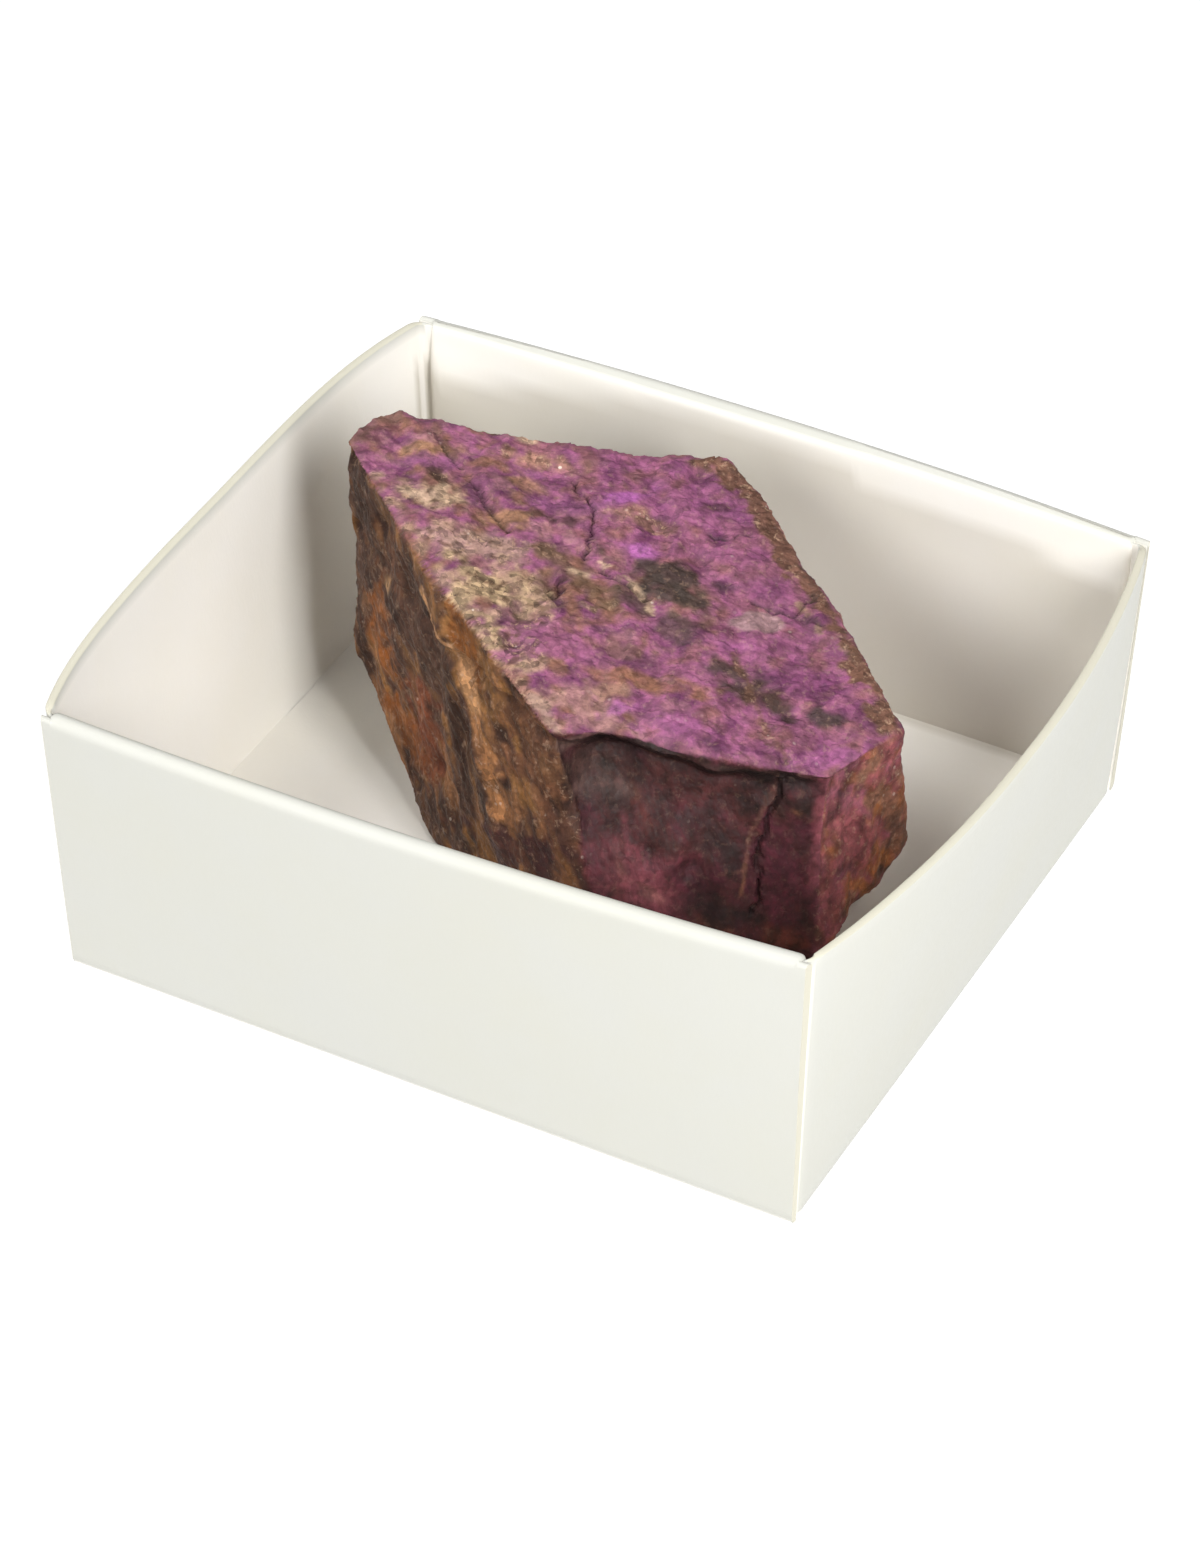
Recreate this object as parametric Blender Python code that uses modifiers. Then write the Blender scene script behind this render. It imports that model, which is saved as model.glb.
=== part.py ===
# A rough lump of purpurite resting in a small open tray folded from white card.
#
# Everything is laid out from the tray's front left foot corner: X along the front wall, Y towards
# the back wall, Z up from the surface the tray stands on. Both objects are then moved together so
# that the middle of the whole, at its foot, is the origin.

import math

import bmesh
import bpy
from mathutils import Matrix, Vector, noise

MM = 0.001

# The tray's foot and height, and its card
TRAY_WIDTH = 54.0 * MM
TRAY_DEPTH = 50.0 * MM
TRAY_HEIGHT = 21.8 * MM
SIDE_CARD = 0.6 * MM          # left and right walls are one card thick
DOUBLE_CARD = 1.2 * MM        # front and back walls are folded over
FLOOR_CARD = 1.2 * MM         # the base with the flaps that are turned in under it
CORNER_RADIUS = 0.8 * MM
INNER_CORNER_RADIUS = 0.3 * MM
RIM_ROUNDING = 0.25 * MM
STRIP_WIDTH = 3.9 * MM        # of the flat strips that make up each bowed wall

# Each wall leans out at its rim by start..end from one end to the other, and bows by bow in the
# middle. A higher fullness makes the bow set in nearer the corners, 2 being a plain arc, and
# floor_share is how much of the bow the wall has at its foot.
WALL_LEANS = {
    "front": {"start": 1.0 * MM, "end": -0.5 * MM, "bow": 0.9 * MM, "fullness": 2.0, "floor_share": 0.0},
    "back": {"start": 0.5 * MM, "end": 0.5 * MM, "bow": 1.1 * MM, "fullness": 2.0, "floor_share": 0.2},
    "left": {"start": 0.45 * MM, "end": 0.85 * MM, "bow": 2.45 * MM, "fullness": 4.0, "floor_share": 0.25},
    "right": {"start": 0.2 * MM, "end": 1.2 * MM, "bow": 3.2 * MM, "fullness": 2.2, "floor_share": 0.0},
}

# The turned-in liners stop short of the side walls, which leaves a shallow pocket in each corner
POCKET_LENGTH = 1.3 * MM
POCKET_DEPTH = 0.5 * MM

# Corner points of the stone, in millimetres
STONE_CORNERS = {
    "tip_left": (4.3, 29.6, 26.5),
    "tip_turn": (4.5, 33.2, 26.9),
    "tip_back": (5.6, 34.8, 26.5),
    "ridge_quarter": (15.7, 21.8, 24.0),
    "ridge_middle": (28.4, 14.8, 19.5),
    "ridge_right": (44.8, 23.4, 16.5),
    "right_shoulder": (46.5, 30.0, 16.6),
    "back_shoulder": (38.5, 36.5, 18.8),
    "back_corner": (26.2, 44.1, 22.5),
    "back_corner_turn": (29.0, 43.2, 21.7),
    "left_end_low": (6.1, 28.1, 10.0),
    "left_end_back": (8.4, 34.5, 12.0),
    "left_foot": (15.4, 21.9, 0.6),
    "left_facet_low": (25.9, 15.3, 4.9),
    "front_edge_low": (32.2, 13.7, 9.5),
    "front_foot_left": (27.0, 14.2, 0.6),
    "front_foot_middle": (33.2, 13.4, 0.6),
    "front_foot_right": (44.9, 20.9, 0.6),
    "right_edge_low": (46.9, 31.0, 6.3),
    "right_scoop_low": (45.6, 27.9, 4.3),
    "right_foot": (43.8, 30.0, 0.6),
    "back_low": (28.5, 43.6, 11.0),
    "back_foot": (32.0, 38.5, 0.6),
    "back_foot_left": (17.0, 33.5, 0.6),
}

REST_GAP = 0.3 * MM           # between the stone's foot and the tray's floor
STONE_FOOT = FLOOR_CARD + REST_GAP
STONE_GRAIN = 0.99 * MM       # size of the facets that carry the relief

# Hollows broken out of the stone: centre, half sizes and turn about Z
HOLLOWS = {
    "arch_under_ridge": {"centre": (34.7, 14.3, 14.2), "half": (6.6, 4.6, 4.7), "turn": 27.0},
    "scoop_right_foot": {"centre": (48.3, 26.4, 1.4), "half": (4.9, 5.4, 3.6), "turn": 14.0},
    "chip_front_foot": {"centre": (38.5, 13.2, 3.0), "half": (4.5, 3.0, 4.0), "turn": 35.0},
    "bite_back": {"centre": (41.5, 43.5, 10.0), "half": (10.0, 5.0, 8.0), "turn": -38.0},
    "bite_left_back": {"centre": (9.0, 41.5, 18.0), "half": (9.0, 5.5, 7.0), "turn": 25.0},
}

# A low ridge runs down the left face and parts its streaked half from its ochre half
RIB_TOP = Vector((15.7, 21.8, 24.0))
RIB_FOOT = Vector((25.9, 15.3, 4.9))
RIB_HEIGHT = 0.7
RIB_WIDTH = 1.3

# Relief of the broken surface: wave lengths and heights in millimetres
SWELL = {"length": 9.0, "height": 0.45}
LUMPS = {"length": 3.4, "height": 0.22}
STREAKS = {"across": 2.2, "along": 11.0, "height": 0.38}
LEDGES = {"spacing": 5.2, "height": 0.4, "waver": 3.4}
PITS = {"spacing": 4.6, "radius": 0.3, "depth": 0.5}
UPPER_FACE = Vector((0.22, -0.08, 0.97))


def clear_scene():
    for thing in list(bpy.data.objects):
        bpy.data.objects.remove(thing, do_unlink=True)


def new_collection(name):
    collection = bpy.data.collections.new(name)
    bpy.context.scene.collection.children.link(collection)
    return collection


def new_material(name, color, roughness):
    material = bpy.data.materials.new(name)
    material.use_nodes = True
    shader = material.node_tree.nodes["Principled BSDF"]
    shader.inputs["Base Color"].default_value = (*color, 1.0)
    shader.inputs["Roughness"].default_value = roughness
    shader.inputs["Metallic"].default_value = 0.0
    return material


def new_object(name, mesh, collection):
    thing = bpy.data.objects.new(name, mesh)
    collection.objects.link(thing)
    return thing


def mesh_from(work, name):
    mesh = bpy.data.meshes.new(name)
    work.to_mesh(mesh)
    work.free()
    return mesh


def as_cutter(thing):
    thing.hide_render = True
    thing.display_type = "WIRE"


def cut_away(thing, cutter):
    boolean = thing.modifiers.new(cutter.name, "BOOLEAN")
    boolean.operation = "DIFFERENCE"
    boolean.solver = "EXACT"
    boolean.object = cutter


def settle(thing):
    """Replace the object's mesh with its evaluated one, so that its modifiers are done with."""
    graph = bpy.context.evaluated_depsgraph_get()
    mesh = bpy.data.meshes.new_from_object(thing.evaluated_get(graph))
    thing.modifiers.clear()
    thing.data = mesh


def wall_lean(side, along, height):
    """How far a wall stands out: along is 0..1 from its start to its end, height 0..1 foot to rim."""
    lean = WALL_LEANS[side]
    along = min(max(along, 0.0), 1.0)
    tilt = (lean["start"] * (1.0 - along) + lean["end"] * along) * height
    share = lean["floor_share"] + (1.0 - lean["floor_share"]) * height
    return tilt + lean["bow"] * (1.0 - abs(2.0 * along - 1.0) ** lean["fullness"]) * share


def lean_point(point):
    """Carry a point of the straight tray to where the leaning, bowed tray has it."""
    across = point.x / TRAY_WIDTH
    back = point.y / TRAY_DEPTH
    height = point.z / TRAY_HEIGHT
    shift_x = across * wall_lean("right", back, height) - (1.0 - across) * wall_lean("left", back, height)
    shift_y = back * wall_lean("back", across, height) - (1.0 - back) * wall_lean("front", across, height)
    return Vector((point.x + shift_x, point.y + shift_y, point.z))


def block(low, high, radius):
    """A box between two corners with its upright edges rounded."""
    work = bmesh.new()
    size = Vector(high) - Vector(low)
    middle = (Vector(high) + Vector(low)) / 2.0
    matrix = Matrix.Translation(middle) @ Matrix.Diagonal((*size, 1.0))
    bmesh.ops.create_cube(work, size=1.0, matrix=matrix)
    if radius > 0.0:
        upright = [e for e in work.edges if abs((e.verts[0].co - e.verts[1].co).z) > size.z / 2.0]
        bmesh.ops.bevel(work, geom=upright, offset=radius, segments=3, profile=0.5, affect="EDGES")
    return work


def cut_into_strips(work, low, high, axis):
    """Cut a box across at even steps along X (axis 0) or Y (axis 1)."""
    count = round((high[axis] - low[axis]) / STRIP_WIDTH)
    across = Vector([1.0 if axis == i else 0.0 for i in range(3)])
    for step in range(1, count):
        place = across * (low[axis] + (high[axis] - low[axis]) * step / count)
        geometry = work.verts[:] + work.edges[:] + work.faces[:]
        bmesh.ops.bisect_plane(work, geom=geometry, plane_co=place, plane_no=across)


def leaning_block(low, high, radius):
    """The same box, its walls cut into upright strips and carried into the tray's bowed shape."""
    work = block(low, high, radius)
    cut_into_strips(work, low, high, 0)
    cut_into_strips(work, low, high, 1)
    for level in (low[2], high[2]):
        flat = [f for f in work.faces if all(abs(v.co.z - level) < 0.01 * MM for v in f.verts)]
        bmesh.ops.dissolve_faces(work, faces=flat)
    walls = [f for f in work.faces if abs(f.normal.z) < 0.5]
    bmesh.ops.triangulate(work, faces=walls, quad_method="FIXED")
    for vert in work.verts:
        vert.co = lean_point(vert.co)
    return work


def hollow_out(tray, cutters):
    """Cut the tray's room between its liners, and a strip along each side wall that is longer by a
    pocket at both ends, where the side walls' tabs show past the ends of the liners."""
    inset = SIDE_CARD + POCKET_LENGTH
    liner = DOUBLE_CARD
    tab = DOUBLE_CARD - POCKET_DEPTH
    half_inset = SIDE_CARD + POCKET_LENGTH / 2.0
    rooms = {
        "room_between_liners": (half_inset, TRAY_WIDTH - half_inset, liner, 0.0),
        "strip_on_left": (SIDE_CARD, inset, tab, INNER_CORNER_RADIUS),
        "strip_on_right": (TRAY_WIDTH - inset, TRAY_WIDTH - SIDE_CARD, tab, INNER_CORNER_RADIUS),
    }
    for name, (low_x, high_x, end_card, radius) in rooms.items():
        low = (low_x, end_card, FLOOR_CARD)
        high = (high_x, TRAY_DEPTH - end_card, TRAY_HEIGHT)
        room = new_object(name, mesh_from(leaning_block(low, high, radius), name), cutters)
        as_cutter(room)
        cut_away(tray, room)


def round_rim(tray):
    work = bmesh.new()
    work.from_mesh(tray.data)
    near = 0.01 * MM
    bmesh.ops.remove_doubles(work, verts=work.verts, dist=near)
    rim = [e for e in work.edges
           if all(abs(v.co.z - TRAY_HEIGHT) < near for v in e.verts)
           and any(abs(f.normal.z) < 0.5 for f in e.link_faces)]
    bmesh.ops.bevel(work, geom=rim, offset=RIM_ROUNDING, segments=2, profile=0.5, affect="EDGES")
    work.to_mesh(tray.data)
    work.free()


def build_tray(collection, cutters):
    outer = leaning_block((0.0, 0.0, 0.0), (TRAY_WIDTH, TRAY_DEPTH, TRAY_HEIGHT), CORNER_RADIUS)
    tray = new_object("card_tray", mesh_from(outer, "card_tray"), collection)
    hollow_out(tray, cutters)
    settle(tray)
    round_rim(tray)
    tray.data.materials.clear()
    tray.data.materials.append(new_material("white_card", (0.83, 0.82, 0.77), 0.6))
    return tray


def stone_blank():
    """The flat-sided lump spanned by the stone's corner points."""
    work = bmesh.new()
    for corner in STONE_CORNERS.values():
        work.verts.new(Vector(corner) * MM)
    hull = bmesh.ops.convex_hull(work, input=work.verts)
    loose = {v for v in hull["geom_interior"] + hull["geom_unused"] if isinstance(v, bmesh.types.BMVert)}
    bmesh.ops.delete(work, geom=list(loose), context="VERTS")
    bmesh.ops.recalc_face_normals(work, faces=work.faces)
    return work


def add_hollows(stone, cutters):
    for name, hollow in HOLLOWS.items():
        place = Matrix.Translation(Vector(hollow["centre"]) * MM)
        turn = Matrix.Rotation(math.radians(hollow["turn"]), 4, "Z")
        scale = Matrix.Diagonal((*[half * MM for half in hollow["half"]], 1.0))
        work = bmesh.new()
        bmesh.ops.create_icosphere(work, subdivisions=3, radius=1.0, matrix=place @ turn @ scale)
        cutter = new_object(name, mesh_from(work, name), cutters)
        as_cutter(cutter)
        cut_away(stone, cutter)


def smooth_step(low, high, value):
    share = min(max((value - low) / (high - low), 0.0), 1.0)
    return share * share * (3.0 - 2.0 * share)


def distance_to_line(point, start, end):
    run = end - start
    share = min(max((point - start).dot(run) / run.length_squared, 0.0), 1.0)
    return (point - start - run * share).length


def relief(point, normal):
    """Height in millimetres of the broken surface at a point given in millimetres."""
    top = smooth_step(0.45, 0.85, normal.dot(UPPER_FACE))
    side = 1.0 - smooth_step(0.2, 0.6, abs(normal.z))
    height = SWELL["height"] * noise.noise(point / SWELL["length"])
    height += LUMPS["height"] * noise.noise(point / LUMPS["length"] + Vector((7.3, 1.9, 4.1)))
    streak = Vector((point.x / STREAKS["across"], point.y / STREAKS["across"], point.z / STREAKS["along"]))
    height += side * STREAKS["height"] * noise.noise(streak)
    layer = point.dot(Vector((0.84, 0.53, 0.1))) + LEDGES["waver"] * noise.noise(point / 6.0)
    step = layer / LEDGES["spacing"] % 1.0
    height += top * LEDGES["height"] * (smooth_step(0.0, 0.35, step) - step)
    nearest = noise.voronoi(point / PITS["spacing"])[0][0]
    height -= PITS["depth"] * (1.0 - smooth_step(0.0, PITS["radius"], nearest))
    rib = distance_to_line(point, RIB_TOP, RIB_FOOT) / RIB_WIDTH
    return height + side * RIB_HEIGHT * math.exp(-rib * rib)


def roughen(stone):
    points = [(vert.co / MM, vert.normal.copy()) for vert in stone.data.vertices]
    for vert, (point, normal) in zip(stone.data.vertices, points):
        vert.co = (point + normal * relief(point, normal)) * MM


def flatten_foot(stone):
    """Cut the stone level where it rests, so that it stands clear of the card by the rest gap."""
    work = bmesh.new()
    work.from_mesh(stone.data)
    geometry = work.verts[:] + work.edges[:] + work.faces[:]
    bmesh.ops.bisect_plane(
        work, geom=geometry, plane_co=(0.0, 0.0, STONE_FOOT), plane_no=(0.0, 0.0, 1.0), clear_inner=True)
    rims = [e for e in work.edges if e.is_boundary]
    bmesh.ops.holes_fill(work, edges=rims, sides=0)
    bmesh.ops.remove_doubles(work, verts=work.verts, dist=0.03 * MM)
    bmesh.ops.triangulate(work, faces=work.faces)
    bmesh.ops.recalc_face_normals(work, faces=work.faces)
    work.to_mesh(stone.data)
    work.free()


def build_stone(collection, cutters):
    stone = new_object("purpurite", mesh_from(stone_blank(), "purpurite"), collection)
    add_hollows(stone, cutters)
    grain = stone.modifiers.new("grain", "REMESH")
    grain.mode = "VOXEL"
    grain.voxel_size = STONE_GRAIN
    settle(stone)
    roughen(stone)
    flatten_foot(stone)
    stone.data.materials.clear()
    stone.data.materials.append(new_material("purple_stone", (0.22, 0.07, 0.19), 0.7))
    return stone


def centre_on_origin(things):
    """Bring the middle of everything, at foot level, to the origin."""
    points = [vert.co for thing in things for vert in thing.data.vertices]
    middle_x = (min(p.x for p in points) + max(p.x for p in points)) / 2.0
    middle_y = (min(p.y for p in points) + max(p.y for p in points)) / 2.0
    for thing in things:
        thing.location = (-middle_x, -middle_y, 0.0)


def main():
    clear_scene()
    collection = new_collection("purpurite_in_tray")
    cutters = new_collection("cutters")
    tray = build_tray(collection, cutters)
    stone = build_stone(collection, cutters)
    centre_on_origin([tray, stone])


main()
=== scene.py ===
import math

import bmesh
import bpy
import numpy as np
from mathutils import Matrix, Vector, noise


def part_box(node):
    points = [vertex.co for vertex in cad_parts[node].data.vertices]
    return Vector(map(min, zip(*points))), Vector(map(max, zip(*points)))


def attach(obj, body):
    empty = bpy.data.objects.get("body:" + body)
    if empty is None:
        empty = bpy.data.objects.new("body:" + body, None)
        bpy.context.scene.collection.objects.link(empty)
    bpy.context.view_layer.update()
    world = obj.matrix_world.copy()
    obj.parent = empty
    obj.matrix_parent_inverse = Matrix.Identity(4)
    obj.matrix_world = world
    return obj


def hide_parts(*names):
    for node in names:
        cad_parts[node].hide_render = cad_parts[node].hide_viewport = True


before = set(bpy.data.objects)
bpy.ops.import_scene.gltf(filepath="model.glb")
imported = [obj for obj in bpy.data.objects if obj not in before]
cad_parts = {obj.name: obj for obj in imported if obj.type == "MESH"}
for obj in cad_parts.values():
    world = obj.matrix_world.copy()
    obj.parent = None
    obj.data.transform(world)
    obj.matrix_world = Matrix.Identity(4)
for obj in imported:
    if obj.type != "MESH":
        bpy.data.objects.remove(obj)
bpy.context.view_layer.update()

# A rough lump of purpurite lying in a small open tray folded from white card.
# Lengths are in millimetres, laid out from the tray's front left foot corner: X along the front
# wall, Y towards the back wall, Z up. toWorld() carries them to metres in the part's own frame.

mm = 0.001
frontLeftFoot = np.array((-27.39, -25.15, 0.0))
noise.seed_set(5)                   # the same crystal faces in every run


def toWorld(points):
    return (np.asarray(points, float) + frontLeftFoot) * mm


def keepInside(points, node):
    # hold world points in metres inside a CAD node's box
    low, high = (np.array(corner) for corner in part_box(node))
    return np.clip(points, low + 0.001 * mm, high - 0.001 * mm)


def toLinear(colour):
    # from the 0..255 numbers of a colour picker to the light that a shader mixes
    share = np.asarray(colour, float) / 255.0
    return np.where(share <= 0.04045, share / 12.92, ((share + 0.055) / 1.055) ** 2.4)


def smoothStep(low, high, value):
    share = np.clip((value - low) / (high - low), 0.0, 1.0)
    return share * share * (3.0 - 2.0 * share)


def noiseAt(points, size, shift=0.0):
    return np.array([noise.noise(Vector(p)) for p in points / size + shift])


def noisesAt(points, *waves):
    # noises laid over each other: size, shift and weight of each
    return sum(weight * noiseAt(points, size, shift) for size, shift, weight in waves)


def stretched(points, way, factor):
    # squeeze places along a direction, so that what is drawn from them comes out stretched
    way = np.array(way, float) / np.linalg.norm(way)
    return points - (1.0 - 1.0 / factor) * (points @ way)[:, None] * way


def nearLine(points, start, end):
    start, end = np.array(start, float), np.array(end, float)
    run = end - start
    share = np.clip((points - start) @ run / (run @ run), 0.0, 1.0)
    return np.linalg.norm(points - start - share[:, None] * run, axis=1)


def nearPath(points, corners, way):
    # distance from a run of straight pieces, as seen along the way that their face looks out
    way = np.array(way) / np.linalg.norm(way)
    corners = [np.array(c) - (np.array(c) @ way) * way for c in corners]
    flat = points - (points @ way)[:, None] * way
    return np.min([nearLine(flat, a, b) for a, b in zip(corners, corners[1:])], axis=0)


def meshOf(work, name):
    mesh = bpy.data.meshes.new(name)
    work.to_mesh(mesh)
    work.free()
    return mesh


def newObject(name, mesh):
    thing = bpy.data.objects.new(name, mesh)
    bpy.context.scene.collection.objects.link(thing)
    return thing


def readPoints(mesh):
    values = np.empty(len(mesh.vertices) * 3)
    mesh.vertices.foreach_get("co", values)
    return values.reshape(-1, 3)


def readNormals(mesh):
    values = np.empty(len(mesh.vertices) * 3)
    mesh.vertex_normals.foreach_get("vector", values)
    return values.reshape(-1, 3)


def readValues(mesh, name):
    values = np.empty(len(mesh.vertices))
    mesh.attributes[name].data.foreach_get("value", values)
    return values


def addColours(mesh, name, colours):
    layer = mesh.attributes.new(name, "FLOAT_COLOR", "POINT")
    whole = np.concatenate([colours, np.ones((len(colours), 1))], axis=1)
    layer.data.foreach_set("color", whole.astype(np.float32).ravel())


def addValues(mesh, name, values):
    layer = mesh.attributes.new(name, "FLOAT", "POINT")
    layer.data.foreach_set("value", np.asarray(values, np.float32))


# The view and the studio

cameraView = {
    "place": (170.977, -245.339, 260.289), "target": (26.506, 25.504, 8.1),
    "lens": 176.12, "sensor": 36.0,
    "nearest": 0.01, "farthest": 20.0,      # metres
}


def setCamera():
    data = bpy.data.cameras.new("viewCamera")
    data.sensor_fit = "HORIZONTAL"
    data.sensor_width = cameraView["sensor"]
    data.lens = cameraView["lens"]
    data.clip_start, data.clip_end = cameraView["nearest"], cameraView["farthest"]
    camera = newObject("viewCamera", data)
    place = Vector(toWorld(cameraView["place"]))
    target = Vector(toWorld(cameraView["target"]))
    camera.location = place
    camera.rotation_euler = (target - place).to_track_quat("-Z", "Y").to_euler()
    bpy.context.scene.camera = camera
    print("camera set")


studio = {
    "skyStrength": 0.03, "skyColour": (1.0, 0.94, 0.85),
    # soft lamps: azimuth and height in degrees, and their faces in millimetres
    "lampDistance": 620.0,
    "lamps": {
        "mainLamp": {"azimuth": -34.0, "height": 36.0, "width": 150.0, "tall": 420.0, "watts": 3.3},
        "rightLamp": {"azimuth": -12.0, "height": 42.0, "width": 430.0, "tall": 430.0, "watts": 1.25},
        "frontLamp": {"azimuth": -106.0, "height": 32.0, "width": 430.0, "tall": 320.0, "watts": 1.8},
        "leftLamp": {"azimuth": 180.0, "height": 50.0, "width": 320.0, "tall": 320.0, "watts": 2.15},
    },
    # the floor's reach in metres, and how far it lies below the tray's foot in millimetres
    "floorReach": 6.0, "floorDrop": 0.02,
    "floorColour": (0.12, 0.12, 0.12), "floorGlow": 0.93, "floorRoughness": 0.9,
}


def addLight(name, spec):
    data = bpy.data.lights.new(name, "AREA")
    data.shape = "ELLIPSE"
    data.size, data.size_y = spec["width"] * mm, spec["tall"] * mm
    data.energy = spec["watts"]
    lamp = newObject(name, data)
    turn, lift = math.radians(spec["azimuth"]), math.radians(spec["height"])
    way = Vector((math.cos(turn) * math.cos(lift), math.sin(turn) * math.cos(lift), math.sin(lift)))
    lamp.location = way * studio["lampDistance"] * mm
    lamp.rotation_euler = way.to_track_quat("Z", "Y").to_euler()


def setStudio():
    scene = bpy.context.scene
    scene.view_settings.view_transform = "Standard"
    world = bpy.data.worlds.new("paleSky")
    world.use_nodes = True
    sky = world.node_tree.nodes["Background"]
    sky.inputs["Color"].default_value = (*studio["skyColour"], 1.0)
    sky.inputs["Strength"].default_value = studio["skyStrength"]
    scene.world = world
    for name, spec in studio["lamps"].items():
        addLight(name, spec)

    work = bmesh.new()
    bmesh.ops.create_grid(work, x_segments=1, y_segments=1, size=studio["floorReach"])
    mesh = meshOf(work, "paleFloor")
    floor = newObject("paleFloor", mesh)
    floor.location.z = -studio["floorDrop"] * mm
    material = bpy.data.materials.new("paleFloor")
    material.use_nodes = True
    shader = material.node_tree.nodes["Principled BSDF"]
    shader.inputs["Base Color"].default_value = (*studio["floorColour"], 1.0)
    shader.inputs["Roughness"].default_value = studio["floorRoughness"]
    shader.inputs["Emission Color"].default_value = (1.0, 1.0, 1.0, 1.0)
    shader.inputs["Emission Strength"].default_value = studio["floorGlow"]
    mesh.materials.append(material)
    print("studio set")


# Small helpers for node materials

def startMaterial(name):
    material = bpy.data.materials.new(name)
    material.use_nodes = True
    tree = material.node_tree
    tree.nodes.clear()
    output = tree.nodes.new("ShaderNodeOutputMaterial")
    shader = tree.nodes.new("ShaderNodeBsdfPrincipled")
    tree.links.new(shader.outputs["BSDF"], output.inputs["Surface"])
    return material, tree, shader


def feed(tree, socket, value):
    if isinstance(value, bpy.types.NodeSocket):
        tree.links.new(value, socket)
    elif socket.type == "RGBA":
        socket.default_value = (*value, 1.0)
    else:
        socket.default_value = value


def addNode(tree, kind, settings=None, **inputs):
    node = tree.nodes.new(kind)
    for key, value in (settings or {}).items():
        setattr(node, key, value)
    for key, value in inputs.items():
        feed(tree, node.inputs[key.replace("_", " ")], value)
    return node


def stretchedPlace(tree, scale, turn=(0.0, 0.0, 0.0)):
    # object coordinates in millimetres, turned by degrees and then stretched
    coords = addNode(tree, "ShaderNodeTexCoord")
    turned = addNode(tree, "ShaderNodeMapping", Vector=coords.outputs["Object"])
    turned.inputs["Rotation"].default_value = [math.radians(a) for a in turn]
    scaled = addNode(tree, "ShaderNodeMapping", Vector=turned.outputs["Vector"])
    scaled.inputs["Scale"].default_value = [s / mm for s in scale]
    return scaled.outputs["Vector"]


def noiseOf(tree, place, scale, detail=3.0, roughness=0.6, distortion=0.0):
    return addNode(tree, "ShaderNodeTexNoise", Vector=place, Scale=scale, Detail=detail,
                   Roughness=roughness, Distortion=distortion).outputs["Fac"]


def attributeOf(tree, name, output="Fac"):
    return addNode(tree, "ShaderNodeAttribute", {"attribute_name": name}).outputs[output]


def rampOf(tree, value, low, high, lowOut=0.0, highOut=1.0):
    node = addNode(tree, "ShaderNodeMapRange", Value=value, From_Min=low, From_Max=high,
                   To_Min=lowOut, To_Max=highOut)
    return node.outputs["Result"]


def mathOf(tree, operation, first, second):
    node = addNode(tree, "ShaderNodeMath", {"operation": operation})
    feed(tree, node.inputs[0], first)
    feed(tree, node.inputs[1], second)
    return node.outputs[0]


def mixedValue(tree, share, first, second):
    node = addNode(tree, "ShaderNodeMix", {"data_type": "FLOAT"})
    for index, value in ((0, share), (2, first), (3, second)):
        feed(tree, node.inputs[index], value)
    return node.outputs[0]


def blended(tree, share, first, second, mode="MIX"):
    node = addNode(tree, "ShaderNodeMix", {"data_type": "RGBA", "blend_type": mode})
    for index, value in ((0, share), (6, first), (7, second)):
        feed(tree, node.inputs[index], value)
    return node.outputs[2]


def bumpOf(tree, height, distance, strength=1.0, normal=None):
    node = addNode(tree, "ShaderNodeBump", Height=height, Distance=distance * mm, Strength=strength)
    if normal is not None:
        feed(tree, node.inputs["Normal"], normal)
    return node.outputs["Normal"]


# The card tray. Its front and back walls are folded over into liners, its side walls are one card
# thick and turn the corners with tabs that are tucked inside the front and back walls.

trayShape = {
    "width": 54.0, "depth": 50.0, "height": 21.8,
    "card": 0.56,               # one thickness
    "fold": 1.36,               # front and back walls: outer card, tab and liner
    "linerStarts": 1.05,        # how far from the tray's sides the back liner stops, and the front one
    "frontLinerStarts": 0.7,
    "tab": 0.2, "tabLength": 9.0, "tabDrop": 0.25,
    "foldRadius": 0.85, "footRadius": 0.45,
    "floorTop": 1.2,
    "station": 0.5,             # spacing of the sections along a wall
    "waver": 0.05,              # how much the card undulates
}
wallLeans = {
    "front": {"start": 1.0, "end": -0.5, "bow": 0.9, "fullness": 2.0, "floorShare": 0.0},
    "back": {"start": 0.5, "end": 0.5, "bow": 1.1, "fullness": 2.0, "floorShare": 0.2},
    "left": {"start": 0.45, "end": 0.85, "bow": 2.45, "fullness": 4.0, "floorShare": 0.25},
    "right": {"start": 0.2, "end": 1.2, "bow": 3.2, "fullness": 2.2, "floorShare": 0.0},
}
# lower edge of the lit roll along the top of the back liner: x and height
backRoll = [(0.4, 18.9), (1.0, 17.8), (5.1, 18.6), (9.1, 19.6), (12.4, 20.0), (16.2, 20.6), (17.4, 21.0),
            (21.3, 21.1), (26.4, 21.0), (29.6, 20.9), (32.1, 20.6), (33.7, 19.6), (39.1, 19.5),
            (44.4, 19.3), (48.9, 18.4), (54.0, 17.4)]


def wallLean(side, along, height):
    lean = wallLeans[side]
    along = np.clip(along, 0.0, 1.0)
    tilt = (lean["start"] * (1.0 - along) + lean["end"] * along) * height
    share = lean["floorShare"] + (1.0 - lean["floorShare"]) * height
    return tilt + lean["bow"] * (1.0 - np.abs(2.0 * along - 1.0) ** lean["fullness"]) * share


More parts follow.
